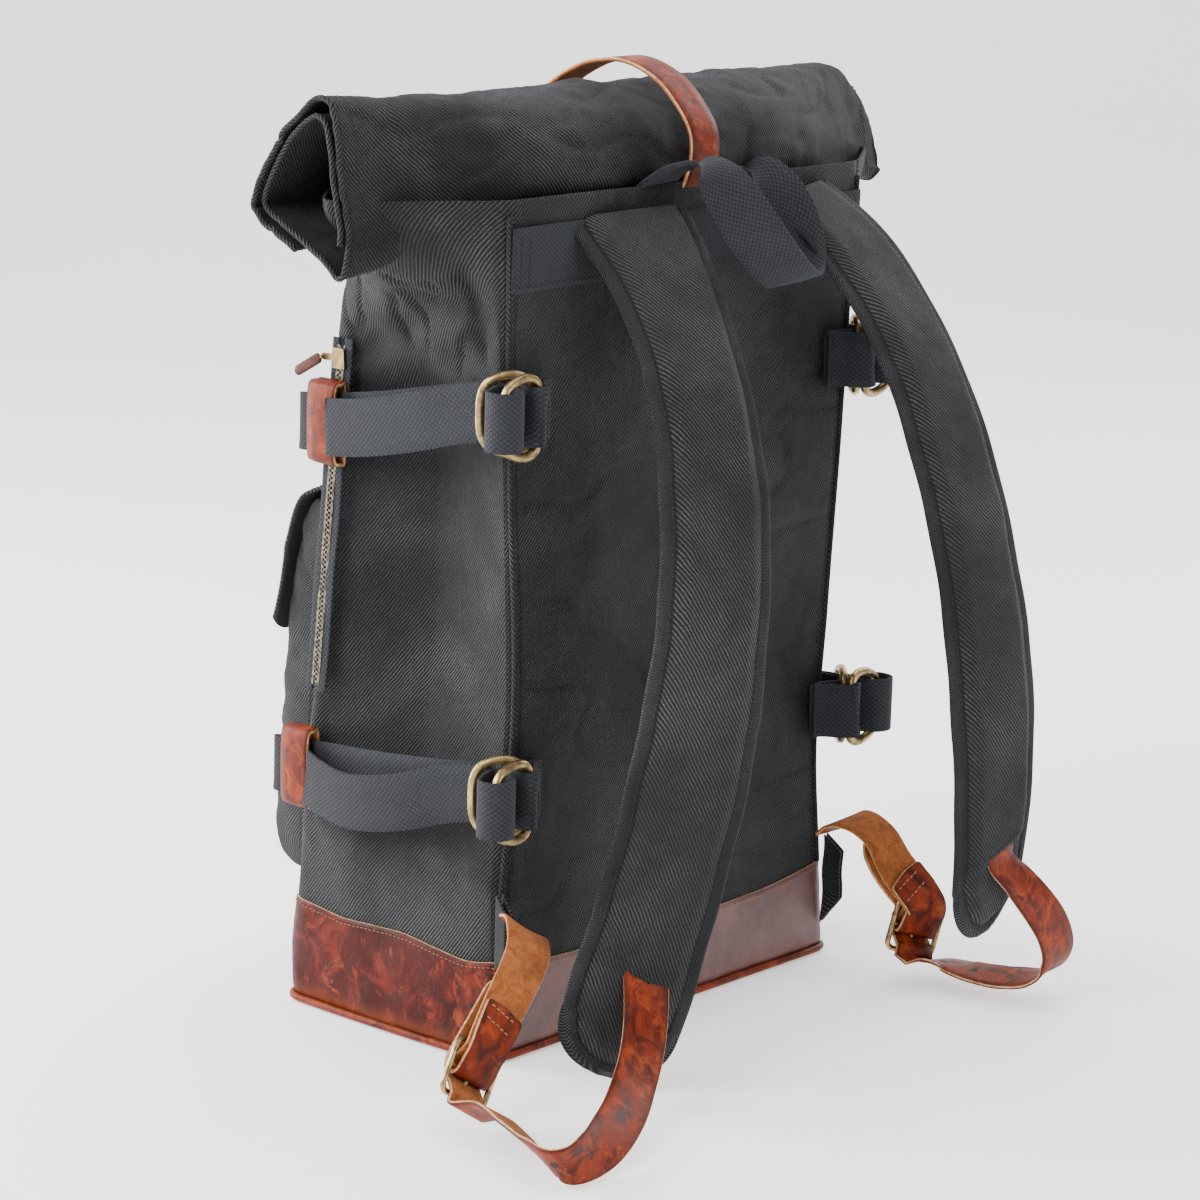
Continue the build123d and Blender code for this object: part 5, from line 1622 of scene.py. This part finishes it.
def area_light(name, right, back, up, aim_z, size, power):
    """Area light placed from the camera's side: right, towards the camera, above z = .28."""
    light = bpy.data.lights.new(name, 'AREA')
    light.shape = 'RECTANGLE'
    light.size, light.size_y = size
    light.energy = power
    lamp = bpy.data.objects.new(name, light)
    bpy.context.scene.collection.objects.link(lamp)
    x, y = TO_CAMERA * back + TO_RIGHT * right
    place = Vector((x, y, .28 + up))
    lamp.location = place
    lamp.rotation_euler = (Vector((0, 0, aim_z)) - place).to_track_quat('-Z', 'Y').to_euler()


studio_sweep()
world = bpy.data.worlds.new("studio")
bpy.context.scene.world = world
world.use_nodes = True
background = world.node_tree.nodes["Background"]
background.inputs["Color"].default_value = (.96, .97, 1, 1)
background.inputs["Strength"].default_value = .58

area_light("key", right=-1.5, back=1.3, up=1.25, aim_z=.28, size=(1.3, 1.3), power=60)
area_light("fill", right=1.7, back=1.2, up=.45, aim_z=.25, size=(1.6, 1.6), power=20)
area_light("top", right=0, back=-.2, up=2.1, aim_z=.3, size=(1.8, 1.8), power=42)
area_light("rim", right=1.3, back=-1.5, up=1.1, aim_z=.35, size=(1.0, 1.4), power=26)
area_light("kick", right=-1.9, back=-.6, up=.6, aim_z=.3, size=(.9, 1.6), power=92)

# ================================================================ camera (metres)
CAMERA_TURN = math.radians(130.86226)
CAMERA_PITCH = math.radians(13.01951)
CAMERA_ROLL = math.radians(1.59884)
CAMERA_DISTANCE = 2.45705
CAMERA_TARGET = np.array([-.02577, 0, .23376])


def camera():
    back = np.array([math.sin(CAMERA_TURN) * math.cos(CAMERA_PITCH),
                     -math.cos(CAMERA_TURN) * math.cos(CAMERA_PITCH), math.sin(CAMERA_PITCH)])
    level = np.array([math.cos(CAMERA_TURN), math.sin(CAMERA_TURN), 0])
    upright = np.cross(back, level)
    cosine, sine = math.cos(CAMERA_ROLL), math.sin(CAMERA_ROLL)
    matrix = np.eye(4)
    matrix[:3, 0] = level * cosine + upright * sine
    matrix[:3, 1] = upright * cosine - level * sine
    matrix[:3, 2] = back
    matrix[:3, 3] = CAMERA_TARGET + back * CAMERA_DISTANCE
    lens = bpy.data.cameras.new("camera")
    lens.lens, lens.sensor_width = 120, 36
    lens.clip_end = 50
    viewer = bpy.data.objects.new("camera", lens)
    bpy.context.scene.collection.objects.link(viewer)
    viewer.matrix_world = Matrix(matrix.tolist())
    bpy.context.scene.camera = viewer


camera()
